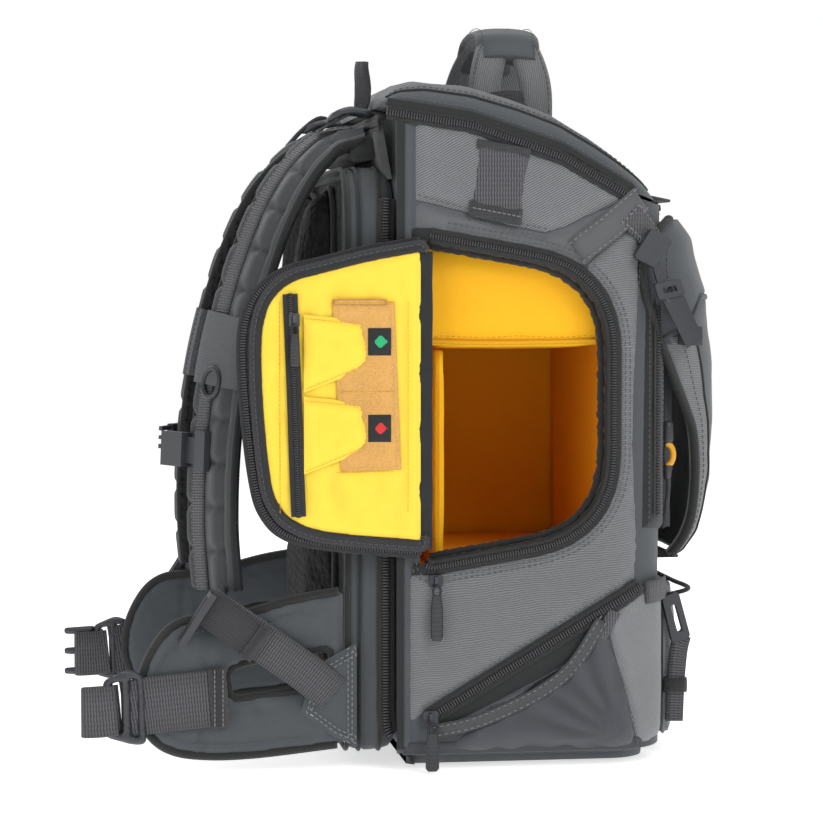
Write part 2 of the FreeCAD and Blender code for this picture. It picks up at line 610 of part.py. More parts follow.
def nodes():
    """Every sub-part's name and shape."""
    zip_y = -160.4
    door_face = 2 * DOOR_HINGE_Y + HALF_WIDTH - DOOR_T - 0.4
    slider_start = BOTTOM_ZIP[0]
    made = {
        "main_shell": main_shell(), "base_panel": base_panel(), "camera_liner": camera_liner(),
        "upper_divider": upper_divider(), "cell_divider": cell_divider(), "laptop_case": laptop_case(), "frame_sheet": frame_sheet(), "harness_pads": harness_pads(),
        "door_opening_zip": door_opening_zip(), "bottom_zip": bottom_zip(), "laptop_zip": laptop_zip(),
        "top_zip": top_zip(), "side_pocket_left": side_pocket(), "side_pocket_right": right_of(side_pocket()),
        "front_pocket": front_pocket(), "lower_front_pocket": lower_front_pocket(),
        "side_webbing": side_webbing(), "upper_straps": upper_straps(),
        "flap_buckle_sockets": both(buckle_socket()), "lower_straps": lower_straps(),
        "lower_buckles": lower_buckles(), "load_lifters": load_lifters(), "bungee_cord": bungee_cord(),
        "bungee_hook": bungee_hook(), "lid_shell": lid_shell(), "lid_zip": lid_zip(),
        "carry_handle": carry_handle(), "lid_zip_slider": lid_rear_slider(), "lid_zip_pull": lid_rear_pull(),
        "door_panel": door_panel(), "door_lining": door_lining(), "door_zip": door_zip(),
        "door_card_pockets": door_card_pockets(), "pocket_zip": pocket_zip(),
        "pocket_zip_slider": slider((-158, 336), (8, 10), door_face),
        "pocket_zip_pull": hanging_pull((-158, 336), 34, 7, door_face - 5.4),
        "door_zip_slider": slider((-52, 142), (10, 9), zip_y),
        "door_zip_pull": hanging_pull((-52, 142), 44, 9, zip_y - 6.0),
        "bottom_zip_slider": slider(slider_start, (11, 10), zip_y),
        "bottom_zip_pull": hanging_pull(slider_start, 38.5, 10, zip_y - 10.5),
        "laptop_zip_slider": slider((-85.3, 372), (9, 11), -CASE_HALF_W - 2.4),
        "front_zip_slider": front_ridge_slider(), "front_zip_pull": front_ridge_pull(),
        "front_flap": front_flap(), "flap_buckle_plugs": flap_straps_and_plugs(),
        "shoulder_strap_left": shoulder_strap(), "shoulder_strap_right": right_of(shoulder_strap()),
        "ladder_lock_left": ladder_lock(), "ladder_lock_right": right_of(ladder_lock()),
        "strap_ring_left": strap_ring(), "strap_ring_right": right_of(strap_ring()),
        "chest_socket": chest_half(False), "chest_plug": right_of(chest_half(True)),
        "hip_wing_left": wing_solid(), "hip_wing_right": right_of(wing_solid()),
        "stabiliser_strap_left": stabiliser_strap(), "stabiliser_strap_right": right_of(stabiliser_strap()),
        "waist_socket": waist_half(False), "waist_plug": right_of(waist_half(True)),
    }
    return made


def main():
    os.makedirs("parts", exist_ok=True)
    made = nodes()
    for name, shape in made.items():
        if not shape.isValid() or not shape.Solids:
            print("check", name, "valid", shape.isValid(), "solids", len(shape.Solids))
        Part.makeCompound(shape.Solids).exportStep(f"parts/{name}.step")
    print(len(made), "nodes")


main()
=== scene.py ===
# %% [markdown]
# # Camera backpack
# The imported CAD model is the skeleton: it says where every piece is and how it moves. This file dresses
# it in cloth, foam, webbing, zips and moulded plastic. Lengths below are in millimetres until a mesh is
# written.

# %% Load the frame
import math

import bmesh
import bpy
import numpy as np
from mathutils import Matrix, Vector, noise
from mathutils.geometry import delaunay_2d_cdt


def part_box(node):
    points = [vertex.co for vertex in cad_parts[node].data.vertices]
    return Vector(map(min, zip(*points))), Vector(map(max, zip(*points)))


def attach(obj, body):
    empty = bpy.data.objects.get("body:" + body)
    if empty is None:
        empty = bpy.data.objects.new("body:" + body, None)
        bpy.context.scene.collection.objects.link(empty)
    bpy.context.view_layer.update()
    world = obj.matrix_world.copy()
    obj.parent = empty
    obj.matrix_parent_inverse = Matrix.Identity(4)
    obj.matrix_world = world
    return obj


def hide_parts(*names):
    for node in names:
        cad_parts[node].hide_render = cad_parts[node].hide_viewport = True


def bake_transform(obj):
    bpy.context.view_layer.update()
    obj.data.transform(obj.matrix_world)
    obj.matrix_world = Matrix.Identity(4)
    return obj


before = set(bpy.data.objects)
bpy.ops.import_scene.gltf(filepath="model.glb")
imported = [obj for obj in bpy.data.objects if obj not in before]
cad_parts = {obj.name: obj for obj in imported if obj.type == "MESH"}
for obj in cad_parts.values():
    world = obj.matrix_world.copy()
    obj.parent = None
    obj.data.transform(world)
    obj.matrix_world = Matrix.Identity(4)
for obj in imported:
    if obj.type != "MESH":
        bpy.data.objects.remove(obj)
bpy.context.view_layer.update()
MM = 0.001
LEFT, RIGHT = Vector((0, -1, 0)).freeze(), Vector((0, 1, 0)).freeze()
AHEAD, BEHIND = Vector((1, 0, 0)).freeze(), Vector((-1, 0, 0)).freeze()
UP = Vector((0, 0, 1)).freeze()


def node_box(name):
    """A CAD node's low and high corners in millimetres."""
    low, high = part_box(name)
    return Vector(low) / MM, Vector(high) / MM


# %% [markdown]
# ## Camera, light and floor
# The bag is seen square-on from its left, from a little behind and slightly above, with a long lens from
# two metres away so that its sides stay parallel. Light is a bright white room: one large soft lamp
# above and to the front, a weaker one from behind the shoulder straps, and a pale floor that catches a
# faint shadow.

# %% Camera
TARGET = Vector((-70, -160, 268)) * MM
YAW, RISE, DISTANCE = math.radians(-8.0), math.radians(3.0), 2.0
FOCAL_LENGTH = 118.4
viewer = Vector((math.sin(YAW) * math.cos(RISE), -math.cos(YAW) * math.cos(RISE), math.sin(RISE)))
lens = bpy.data.cameras.new("camera")
lens.lens = FOCAL_LENGTH
camera = bpy.data.objects.new("camera", lens)
camera.location = TARGET + viewer * DISTANCE
camera.rotation_euler = (-viewer).to_track_quat("-Z", "Y").to_euler()
bpy.context.scene.collection.objects.link(camera)
bpy.context.scene.camera = camera


# %% Lights and floor
def area_light(name, place, aim, size, power):
    data = bpy.data.lights.new(name, "AREA")
    data.shape = "SQUARE"
    data.size = size
    data.energy = power
    lamp = bpy.data.objects.new(name, data)
    lamp.location = place
    lamp.rotation_euler = (Vector(aim) - Vector(place)).to_track_quat("-Z", "Y").to_euler()
    bpy.context.scene.collection.objects.link(lamp)


area_light("key", (0.9, -1.9, 1.7), (0, 0, 0.3), 1.4, 24)
area_light("fill", (-1.6, -1.5, 0.9), (-0.05, 0, 0.3), 1.3, 9)
area_light("top", (0.1, 0.3, 2.2), (0, 0, 0.2), 1.5, 15)
area_light("rim", (-0.9, 1.7, 1.3), (0, 0, 0.3), 1.2, 9)
world = bpy.data.worlds.new("studio")
world.use_nodes = True
world.node_tree.nodes["Background"].inputs["Color"].default_value = (1, 1, 1, 1)
seen = world.node_tree.nodes.new("ShaderNodeLightPath").outputs["Is Camera Ray"]
glow = world.node_tree.nodes.new("ShaderNodeMapRange")
WORLD_LIGHT, WORLD_SEEN = 0.42, 1.0
glow.inputs["To Min"].default_value, glow.inputs["To Max"].default_value = WORLD_LIGHT, WORLD_SEEN
world.node_tree.links.new(seen, glow.inputs["Value"])
world.node_tree.links.new(glow.outputs["Result"], world.node_tree.nodes["Background"].inputs["Strength"])
bpy.context.scene.world = world
bpy.context.scene.view_settings.view_transform = "Standard"


# %% [markdown]
# ## Shader groups
# Cloth is a colour with three kinds of change on it: the weave, which is fine and regular; a slow
# mottling where the cloth is handled or dyed unevenly; and wear, paler along edges, which comes with
# painted shade, darker in folds. Each is a group, built once, that puts out plain values. Every soft
# mesh carries a map called "cloth" that measures along and across its cut in metres, so that threads
# follow the pattern piece as they do on the sewn bag.

# %% Group helpers
def new_group(name, inputs, outputs):
    """An empty shader group with float inputs (name, default) and named float outputs."""
    tree = bpy.data.node_groups.new(name, "ShaderNodeTree")
    for label, value in inputs:
        socket = tree.interface.new_socket(label, in_out="INPUT", socket_type="NodeSocketFloat")
        socket.default_value = value
    for label in outputs:
        tree.interface.new_socket(label, in_out="OUTPUT", socket_type="NodeSocketFloat")
    return tree, tree.nodes.new("NodeGroupInput"), tree.nodes.new("NodeGroupOutput")


def maths(tree, operation, a, b=None, c=None):
    """A Math node whose inputs are numbers or sockets; returns its output."""
    node = tree.nodes.new("ShaderNodeMath")
    node.operation = operation
    for socket, value in zip(node.inputs, (a, b, c)):
        if value is None:
            continue
        if isinstance(value, (int, float)):
            socket.default_value = value
        else:
            tree.links.new(value, socket)
    return node.outputs[0]


def cloth_uv(tree):
    """Separate along and across sockets of the cloth map."""
    uv = tree.nodes.new("ShaderNodeUVMap")
    uv.uv_map = "cloth"
    parts = tree.nodes.new("ShaderNodeSeparateXYZ")
    tree.links.new(uv.outputs["UV"], parts.inputs[0])
    return uv.outputs["UV"], parts.outputs[0], parts.outputs[1]


def noise_node(tree, vector, scale, detail=3.0, rough=0.5):
    node = tree.nodes.new("ShaderNodeTexNoise")
    tree.links.new(vector, node.inputs["Vector"])
    if isinstance(scale, (int, float)):
        node.inputs["Scale"].default_value = scale
    else:
        tree.links.new(scale, node.inputs["Scale"])
    node.inputs["Detail"].default_value = detail
    node.inputs["Roughness"].default_value = rough
    return node.outputs["Fac"]


# %% Weave group: slanting ribs crossed by threads
def make_weave():
    tree, given, out = new_group("weave", [("Rib", 1.4), ("Thread", 0.55), ("Slant", 0.3),
                                           ("Waviness", 0.4)],
                                 ["Height", "Shade"])
    uv, along, across = cloth_uv(tree)
    wobble = maths(tree, "SUBTRACT", noise_node(tree, uv, 30.0), 0.5)
    shift = maths(tree, "MULTIPLY", wobble, maths(tree, "MULTIPLY", given.outputs["Waviness"], 0.004))
    rib_line = maths(tree, "ADD", maths(tree, "MULTIPLY_ADD", along, given.outputs["Slant"], across), shift)
    turns = maths(tree, "DIVIDE", rib_line, maths(tree, "MULTIPLY", given.outputs["Rib"], MM))
    rib = maths(tree, "SINE", maths(tree, "MULTIPLY", turns, 2 * math.pi))
    steps = maths(tree, "DIVIDE", along, maths(tree, "MULTIPLY", given.outputs["Thread"], MM))
    thread = maths(tree, "SINE", maths(tree, "MULTIPLY", steps, 2 * math.pi))
    both = maths(tree, "MULTIPLY_ADD", thread, 0.3, rib)
    height = maths(tree, "MULTIPLY_ADD", both, 0.38, 0.5)
    speckle = noise_node(tree, uv, 900.0, 2.0, 0.7)
    tree.links.new(height, out.inputs["Height"])
    tree.links.new(maths(tree, "MULTIPLY_ADD", maths(tree, "SUBTRACT", speckle, 0.5), 0.5, height),
                   out.inputs["Shade"])
    return tree


# %% Mottle group: slow changes of shade over the whole bag
def make_mottle():
    tree, given, out = new_group("mottle", [("Scale", 14.0)], ["Broad", "Fine"])
    place = tree.nodes.new("ShaderNodeTexCoord").outputs["Object"]
    tree.links.new(noise_node(tree, place, given.outputs["Scale"], 4.0, 0.55), out.inputs["Broad"])
    tree.links.new(noise_node(tree, place, 420.0, 3.0, 0.65), out.inputs["Fine"])
    return tree


# %% Wear and painted shade group: paler on proud edges from wear, darker in folds from painted shade
def make_wear_and_fold_shade():
    tree, given, out = new_group("wear", [("Width", 0.06), ("Breakup", 90.0)], ["Edge", "Fold"])
    point = tree.nodes.new("ShaderNodeNewGeometry").outputs["Pointiness"]
    place = tree.nodes.new("ShaderNodeTexCoord").outputs["Object"]
    patchy = noise_node(tree, place, given.outputs["Breakup"], 4.0, 0.7)
    proud = maths(tree, "DIVIDE", maths(tree, "SUBTRACT", point, 0.5), given.outputs["Width"])
    tree.links.new(maths(tree, "MINIMUM", maths(tree, "MAXIMUM", maths(tree, "MULTIPLY", proud, patchy),
                                                0.0), 1.0),
                   out.inputs["Edge"])
    # Fold is painted shade, darkest in hollows and folds.
    sunk = maths(tree, "DIVIDE", maths(tree, "SUBTRACT", 0.5, point), given.outputs["Width"])
    tree.links.new(maths(tree, "MINIMUM", maths(tree, "MAXIMUM", sunk, 0.0), 1.0), out.inputs["Fold"])
    return tree


# %% Webbing group: ribs across the strap that lean slightly in each row
def make_webbing():
    tree, given, out = new_group("webbing_ribs", [("Rib", 1.5), ("Row", 4.0)], ["Height", "Shade"])
    uv, along, across = cloth_uv(tree)
    row = maths(tree, "PINGPONG", across, maths(tree, "MULTIPLY", given.outputs["Row"], MM))
    line = maths(tree, "MULTIPLY_ADD", row, 0.12, along)
    turns = maths(tree, "DIVIDE", line, maths(tree, "MULTIPLY", given.outputs["Rib"], MM))
    rib = maths(tree, "ABSOLUTE", maths(tree, "SINE", maths(tree, "MULTIPLY", turns, math.pi)))
    rows = maths(tree, "SINE", maths(tree, "DIVIDE", maths(tree, "MULTIPLY", across, 2 * math.pi),
                                     maths(tree, "MULTIPLY", given.outputs["Row"], MM)))
    height = maths(tree, "MULTIPLY_ADD", rows, 0.12, rib)
    tree.links.new(height, out.inputs["Height"])
    speckle = maths(tree, "SUBTRACT", noise_node(tree, uv, 1200.0, 2.0, 0.7), 0.5)
    tree.links.new(maths(tree, "MULTIPLY_ADD", speckle, 0.5, height), out.inputs["Shade"])
    return tree


# %% Spacer mesh group: rounded cells in a raised knit
def make_spacer():
    tree, given, out = new_group("spacer_mesh", [("Cell", 5.0)], ["Height"])
    place = tree.nodes.new("ShaderNodeTexCoord").outputs["Object"]
    cells = tree.nodes.new("ShaderNodeTexVoronoi")
    cells.feature = "F1"
    cells.inputs["Randomness"].default_value = 0.45
    tree.links.new(place, cells.inputs["Vector"])
    per_metre = maths(tree, "DIVIDE", 1000.0, given.outputs["Cell"])
    tree.links.new(per_metre, cells.inputs["Scale"])
    # This height also colours the knit in spacer_mesh: painted shade in the holes, painted light on the
    # raised knit.
    rise = maths(tree, "MULTIPLY", cells.outputs["Distance"], 1.7)
    tree.links.new(maths(tree, "MINIMUM", rise, 1.0), out.inputs["Height"])
    return tree


# The "wear" group gives both the worn pale edges and the painted shade in folds.
GROUPS = {"weave": make_weave(), "mottle": make_mottle(), "wear": make_wear_and_fold_shade(), "webbing": make_webbing(),
          "spacer": make_spacer()}
print("shader groups:", sorted(GROUPS))


# %% Material helper
def place_group(tree, key, **values):
    node = tree.nodes.new("ShaderNodeGroup")
    node.node_tree = GROUPS[key]
    for label, value in values.items():
        node.inputs[label].default_value = value
    return node


def shade_of(colour, factor):
    return tuple(min(1.0, c * factor) for c in colour) + (1.0,)


def mix_colour(tree, factor, a, b):
    """A colour mix; a and b are RGBA tuples or sockets."""
    node = tree.nodes.new("ShaderNodeMix")
    node.data_type = "RGBA"
    tree.links.new(factor, node.inputs["Factor"])
    for socket, value in ((node.inputs["A"], a), (node.inputs["B"], b)):
        if isinstance(value, tuple):
            socket.default_value = value
        else:
            tree.links.new(value, socket)
    return node.outputs["Result"]


def start_material(name, roughness, sheen=0.0):
    material = bpy.data.materials.new(name)
    material.use_nodes = True
    tree = material.node_tree
    shader = tree.nodes["Principled BSDF"]
    shader.inputs["Roughness"].default_value = roughness
    shader.inputs["Sheen Weight"].default_value = sheen
    shader.inputs["Sheen Roughness"].default_value = 0.5
    return material, tree, shader


def add_bump(tree, shader, layers):
    """Chained bumps, each (height socket, depth in millimetres)."""
    normal = None
    for height, depth in layers:
        bump = tree.nodes.new("ShaderNodeBump")
        bump.inputs["Distance"].default_value = depth * MM
        bump.inputs["Strength"].default_value = 1.0
        tree.links.new(height, bump.inputs["Height"])
        if normal:
            tree.links.new(normal, bump.inputs["Normal"])
        normal = bump.outputs["Normal"]
    tree.links.new(normal, shader.inputs["Normal"])


def finish_colour(tree, shader, shade, colour, contrast, broad, wear=0.35, fold=0.4, rough=(0.7, 0.9)):
    """Weave shade, slow mottling, edge wear and painted shade in folds, laid on one colour, with roughness
    that follows.
    """
    low, high = shade_of(colour, 1 - contrast), shade_of(colour, 1 + contrast)
    woven = mix_colour(tree, shade, low, high)
    mottle = place_group(tree, "mottle", Scale=9.0)
    dull = mix_colour(tree, maths(tree, "MULTIPLY", mottle.outputs["Broad"], broad), woven,
                      shade_of(colour, 0.55))
    wear_and_shade_node = place_group(tree, "wear")
    pale = mix_colour(tree, maths(tree, "MULTIPLY", wear_and_shade_node.outputs["Edge"], wear), dull,
                      shade_of(colour, 1.9))
    # Painted shade: folds and hollows are darkened towards a third of the colour.
    dark = mix_colour(tree, maths(tree, "MULTIPLY", wear_and_shade_node.outputs["Fold"], fold), pale,
                      shade_of(colour, 0.35))
    tree.links.new(dark, shader.inputs["Base Color"])
    spread = tree.nodes.new("ShaderNodeMapRange")
    tree.links.new(mottle.outputs["Fine"], spread.inputs["Value"])
    spread.inputs["To Min"].default_value, spread.inputs["To Max"].default_value = rough
    tree.links.new(spread.outputs["Result"], shader.inputs["Roughness"])
    return mottle


# %% Cloth, webbing and mesh materials
def cloth(name, colour, rib=1.2, thread=0.6, slant=0.3, contrast=0.2, broad=0.35, depth=0.12, sheen=0.25,
          wave=0.4, rough=(0.75, 0.92), crease=0.6):
    material, tree, shader = start_material(name, 0.85, sheen)
    woven = place_group(tree, "weave", Rib=rib, Thread=thread, Slant=slant, Waviness=wave)
    mottle = finish_colour(tree, shader, woven.outputs["Shade"], colour, contrast, broad, rough=rough)
    place = tree.nodes.new("ShaderNodeTexCoord").outputs["Object"]
    folds = noise_node(tree, place, 38.0, 3.0, 0.5)
    add_bump(tree, shader, [(folds, crease), (mottle.outputs["Fine"], 0.12),
                            (woven.outputs["Height"], depth)])
    return material


def webbing(name, colour, rib=1.5, row=4.0):
    material, tree, shader = start_material(name, 0.8, 0.15)
    ribs = place_group(tree, "webbing", Rib=rib, Row=row)
    mottle = finish_colour(tree, shader, ribs.outputs["Shade"], colour, 0.75, 0.3, rough=(0.55, 0.8))
    add_bump(tree, shader, [(mottle.outputs["Fine"], 0.1), (ribs.outputs["Height"], 0.6)])
    return material


def spacer_mesh(name, colour, cell=5.0, depth=2.2, contrast=0.75, sheen=0.1):
    material, tree, shader = start_material(name, 0.95, sheen)
    knit = place_group(tree, "spacer", Cell=cell)
    # Colour follows the knit height: painted shade darkens the holes and painted light brightens the raised
    # knit.
    mottle = finish_colour(tree, shader, knit.outputs["Height"], colour, contrast, 0.3, rough=(0.85, 1.0))
    add_bump(tree, shader, [(mottle.outputs["Fine"], 0.3), (knit.outputs["Height"], depth)])
    return material


def moulded(name, colour, rough=0.42, grain=0.05, metallic=0.0, wear=0.5):
    """Spark-eroded plastic, or enamel on die-cast metal, rubbed brighter on its edges, with painted shade in
    its hollows.
    """
    material, tree, shader = start_material(name, rough)
    shader.inputs["Metallic"].default_value = metallic
    place = tree.nodes.new("ShaderNodeTexCoord").outputs["Object"]
    speck = noise_node(tree, place, 1500.0, 2.0, 0.6)
    finish_colour(tree, shader, speck, colour, 0.12, 0.3, wear=wear, fold=0.3,
                  rough=(rough - 0.08, rough + 0.14))
    add_bump(tree, shader, [(speck, grain)])
    return material


TWILL = cloth("twill_grey", (0.150, 0.155, 0.163), rib=1.7, thread=0.8, slant=-0.1, contrast=0.5, broad=0.3,
              depth=0.3, wave=1.6)
RISING_TWILL = cloth("twill_rising", (0.155, 0.160, 0.168), rib=1.9, thread=0.8, slant=-0.55, contrast=0.75,
                     broad=0.3, depth=0.3, wave=0.8)
PALE_TWILL = cloth("twill_pale", (0.185, 0.190, 0.200), rib=1.6, thread=0.8, slant=0.5, contrast=0.32,
                   broad=0.25, depth=0.25)
SLATE = cloth("slate_cloth", (0.062, 0.070, 0.078), rib=0.8, thread=0.5, slant=0.1, contrast=0.4,
              broad=0.35,
              depth=0.1)
SMOOTH = cloth("smooth_grey", (0.104, 0.109, 0.116), rib=0.7, thread=0.5, slant=0.1, contrast=0.3,
               broad=0.35)
# The straps' slate is darkened to paint in the shade that falls on them.
STRAP_SHADED_SLATE = cloth("strap_cloth", (0.040, 0.044, 0.048), rib=0.8, thread=0.5, contrast=0.4, broad=0.35)
STRETCH = cloth("stretch_cloth", (0.060, 0.062, 0.073), rib=0.7, thread=0.5, slant=0.0, contrast=0.32,
                depth=0.08)
BLACK = cloth("black_cloth", (0.011, 0.012, 0.013), rib=0.8, thread=0.6, contrast=0.35, depth=0.08)
LINING = cloth("yellow_lining", (0.98, 0.66, 0.05), rib=0.7, thread=0.5, slant=0.1, contrast=0.04,
               broad=0.10,
               depth=0.04, sheen=0.35, crease=1.6)
PADDING = cloth("orange_padding", (1.0, 0.47, 0.004), rib=0.5, thread=0.5, contrast=0.06, broad=0.12,
                depth=0.05,
                sheen=0.0, crease=1.0)
NET = spacer_mesh("card_net", (0.58, 0.31, 0.085), 1.3, 0.25, 0.25)
AIR_MESH = spacer_mesh("air_mesh", (0.008, 0.008, 0.009), 6.5, 3.0, sheen=0.0)
WEBBING = webbing("webbing", (0.062, 0.062, 0.070), 2.1, 3.6)
DARK_WEBBING = webbing("webbing_dark", (0.030, 0.031, 0.035), 1.3, 3.0)
BINDING = webbing("binding_tape", (0.015, 0.016, 0.017), 0.9, 2.0)
GREY_BINDING = webbing("binding_grey", (0.070, 0.073, 0.080), 0.9, 2.0)
COIL = moulded("zip_coil", (0.050, 0.050, 0.055), rough=0.30)
PLASTIC = moulded("buckle_plastic", (0.028, 0.029, 0.034), rough=0.38)
ENAMEL = moulded("slider_enamel", (0.040, 0.041, 0.050), rough=0.28, metallic=0.6)
PALE_THREAD = moulded("pale_thread", (0.27, 0.27, 0.28), rough=0.8)
DARK_THREAD = moulded("dark_thread", (0.11, 0.115, 0.125), rough=0.8)
YELLOW_THREAD = moulded("yellow_thread", (0.80, 0.42, 0.02), rough=0.8)
YELLOW_PLASTIC = moulded("yellow_plastic", (0.95, 0.45, 0.02), rough=0.35)
GREEN_MARK = moulded("green_mark", (0.02, 0.40, 0.16), rough=0.8)
RED_MARK = moulded("red_mark", (0.62, 0.03, 0.03), rough=0.8)
print(len(bpy.data.materials), "materials")

# %% [markdown]
# ## Pattern cutting
# A sewn bag is flat pieces of cloth joined at seams, so the helpers here work as a pattern cutter does.
# An outline is drawn flat, filled with small triangles, laid on a surface and blown up a little so that
# it dips at its seams. Webbing, piping and binding are narrow sections carried along a smooth path.
# Stitches and zip teeth are small beads set along a path, gathered into one mesh for each body.

# %% Paths
def smooth_path(points, step=4.0, closed=False):
    """Evenly spaced points on a smooth curve through the given ones."""
    pts = [Vector(p) for p in points]
    n, fine = len(pts), []
    for i in range(n if closed else n - 1):
        b, c = pts[i], pts[(i + 1) % n]
        a = pts[i - 1] if closed or i else b * 2 - c
        d = pts[(i + 2) % n] if closed or i + 2 < n else c * 2 - b
        count = max(2, int((c - b).length / step * 3))
        for k in range(count):
            t = k / count
            fine.append(0.5 * (2 * b + (c - a) * t + (2 * a - 5 * b + 4 * c - d) * t * t
                               + (3 * b - a - 3 * c + d) * t ** 3))
    fine.append(pts[0].copy() if closed else pts[-1].copy())
    return spaced(fine, step, closed)


def spaced(points, step, closed=False):
    """Points at even spacing along straight runs; a closed path doesn't repeat its first point."""
    line = np.array([tuple(p) for p in points], float)
    runs = np.linalg.norm(np.diff(line, axis=0), axis=1)
    at = np.concatenate([[0.0], np.cumsum(runs)])
    count = max(2, round(at[-1] / step))
    marks = np.linspace(0, at[-1], count + 1)
    even = np.stack([np.interp(marks, at, line[:, k]) for k in range(line.shape[1])], axis=1)
    return [Vector(p) for p in (even[:-1] if closed else even)]


def rounded(corners, step=5.0):
    """A closed outline with its corners cut round; each corner is (a, b, cut length)."""
    fine, n = [], len(corners)
    for i, (a, b, cut) in enumerate(corners):
        here = Vector((a, b))
        before, after = Vector(corners[i - 1][:2]), Vector(corners[(i + 1) % n][:2])
        start = here + (before - here).normalized() * min(cut, (before - here).length * 0.49)
        end = here + (after - here).normalized() * min(cut, (after - here).length * 0.49)
        for k in range(9):
            t = k / 8
            fine.append(start * (1 - t) ** 2 + here * 2 * t * (1 - t) + end * t * t)
    fine.append(fine[0].copy())
    return spaced(fine, step, True)


def inset_loop(loop, depth):
    """A closed flat outline moved inwards by depth."""
    area = sum(loop[i - 1].x * loop[i].y - loop[i].x * loop[i - 1].y for i in range(len(loop)))
    side = 1 if area > 0 else -1
    moved = []
    for i, p in enumerate(loop):
        run = (loop[(i + 1) % len(loop)] - loop[i - 1]).normalized()
        moved.append(p + Vector((-run.y, run.x)) * depth * side)
    return moved


# %% Filling an outline with triangles
def inside(points, loop):
    """Which of the points are inside a closed outline."""
    x, y = points[:, 0], points[:, 1]
    result = np.zeros(len(points), bool)
    for i in range(len(loop)):
        (ax, ay), (bx, by) = loop[i - 1], loop[i]
        if ay != by:
            crosses = (ay > y) != (by > y)
            result ^= crosses & (x < (bx - ax) * (y - ay) / (by - ay) + ax)
    return result


def edge_distance(points, loops):
    best = np.full(len(points), 1e9)
    for loop in loops:
        for i in range(len(loop)):
            a, b = np.array(loop[i - 1]), np.array(loop[i])
            run = b - a
            t = np.clip(((points - a) @ run) / max(run @ run, 1e-9), 0, 1)
            best = np.minimum(best, np.linalg.norm(points - (a + t[:, None] * run), axis=1))
    return best


def fill_outline(outline, holes=(), spacing=5.0):
    """Flat points, triangles and each point's distance from the nearest edge."""
    loops = [[tuple(p[:2]) for p in loop] for loop in (outline, *holes)]
    coords, edges = [], []
    for loop in loops:
        first = len(coords)
        coords += loop
        edges += [(first + i, first + (i + 1) % len(loop)) for i in range(len(loop))]
    low, high = np.min(loops[0], axis=0), np.max(loops[0], axis=0)
    rows = np.arange(low[1], high[1], spacing * 0.87)
    grid = np.array([(x + (k % 2) * spacing / 2, y) for k, y in enumerate(rows)
                     for x in np.arange(low[0], high[0], spacing)])
    keep = inside(grid, loops[0]) & (edge_distance(grid, loops) > spacing * 0.5)
    for hole in loops[1:]:
        keep &= ~inside(grid, hole)
    coords += [tuple(p) for p in grid[keep]]
    flat, _, tris, *_ = delaunay_2d_cdt([Vector(c) for c in coords], edges, [], 0, 1e-4)
    points = np.array([tuple(p) for p in flat])
    middle = np.array([points[list(t)].mean(axis=0) for t in tris])
    good = inside(middle, loops[0])
    for hole in loops[1:]:
        good &= ~inside(middle, hole)
    return points, [tuple(t) for t, ok in zip(tris, good) if ok], edge_distance(points, loops)


# %% Making a piece
SLOTS = {TWILL: "twill_grey", RISING_TWILL: "twill_grey", PALE_TWILL: "twill_grey",
         SLATE: "slate_cloth", STRETCH: "slate_cloth",
         SMOOTH: "slate_cloth", STRAP_SHADED_SLATE: "slate_cloth",
         BLACK: "black_cloth", AIR_MESH: "black_cloth", LINING: "yellow_lining", PADDING: "yellow_lining",
         NET: "yellow_lining", WEBBING: "webbing", DARK_WEBBING: "webbing", BINDING: "webbing",
         GREY_BINDING: "webbing", COIL: "zip_tape", PLASTIC: "buckle_plastic", ENAMEL: "slider_metal",
         PALE_THREAD: "webbing", DARK_THREAD: "webbing", YELLOW_THREAD: "yellow_lining",
         YELLOW_PLASTIC: "yellow_lining", GREEN_MARK: "black_cloth", RED_MARK: "black_cloth"}
made = []
LOOK_STEP = 1.7  # every piece takes its folds from another place in the noise


def grid_faces(rows, columns, closed=False, turn=1):
    """Quads between neighbouring rows of points; closed joins each row's ends, turn below 0 flips them."""
    faces = [(i * columns + k, i * columns + (k + 1) % columns, (i + 1) * columns + (k + 1) % columns,
              (i + 1) * columns + k) for i in range(rows - 1) for k in range(columns if closed
                                                                             else columns - 1)]
    return faces if turn > 0 else [f[::-1] for f in faces]


def box_map(mesh):
    """Gives every face cloth coordinates from the side that it faces most."""
    layer = mesh.uv_layers.new(name="cloth")
    for poly in mesh.polygons:
        n = [abs(c) for c in poly.normal]
        u, v = ((1, 2), (0, 2), (0, 1))[n.index(max(n))]
        for corner in poly.loop_indices:
            co = mesh.vertices[mesh.loops[corner].vertex_index].co
            layer.data[corner].uv = (co[u], co[v])


def build(name, verts, faces, material, body="bag", uvs=None, replaces=(), others=(), which=None):
    """A named piece from points in millimetres; others and which give more materials, one number per face."""
    mesh = bpy.data.meshes.new(name)
    mesh.from_pydata([tuple(Vector(v) * MM) for v in verts], [], faces)
    mesh.update()
    if uvs:
        layer = mesh.uv_layers.new(name="cloth")
        for corner in mesh.loops:
            u, v = uvs[corner.vertex_index]
            layer.data[corner.index].uv = (u * MM, v * MM)
    else:
        box_map(mesh)
    for each in (material, *others):
        mesh.materials.append(each)
    mesh.polygons.foreach_set("use_smooth", [True] * len(mesh.polygons))
    if which:
        mesh.polygons.foreach_set("material_index", which)
    piece = bpy.data.objects.new(name, mesh)
    bpy.context.scene.collection.objects.link(piece)
    return dress(piece, body, replaces)


def dress(piece, body, replaces=()):
    if body:
        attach(piece, body)
    if replaces:
        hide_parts(*replaces)
    made.append(piece.name)
    return piece


def both_sides(maker, left_body="bag", right_body="bag"):
    """Runs a maker for the left side and for its mirror image."""
    maker("left", 1, left_body)
    maker("right", -1, right_body)


# %% Cloth panels
def crumple(a, b, size, seed=0.0):
    """A slow random wave between -1 and 1."""
    return noise.noise(Vector((a / size, b / size, seed)))


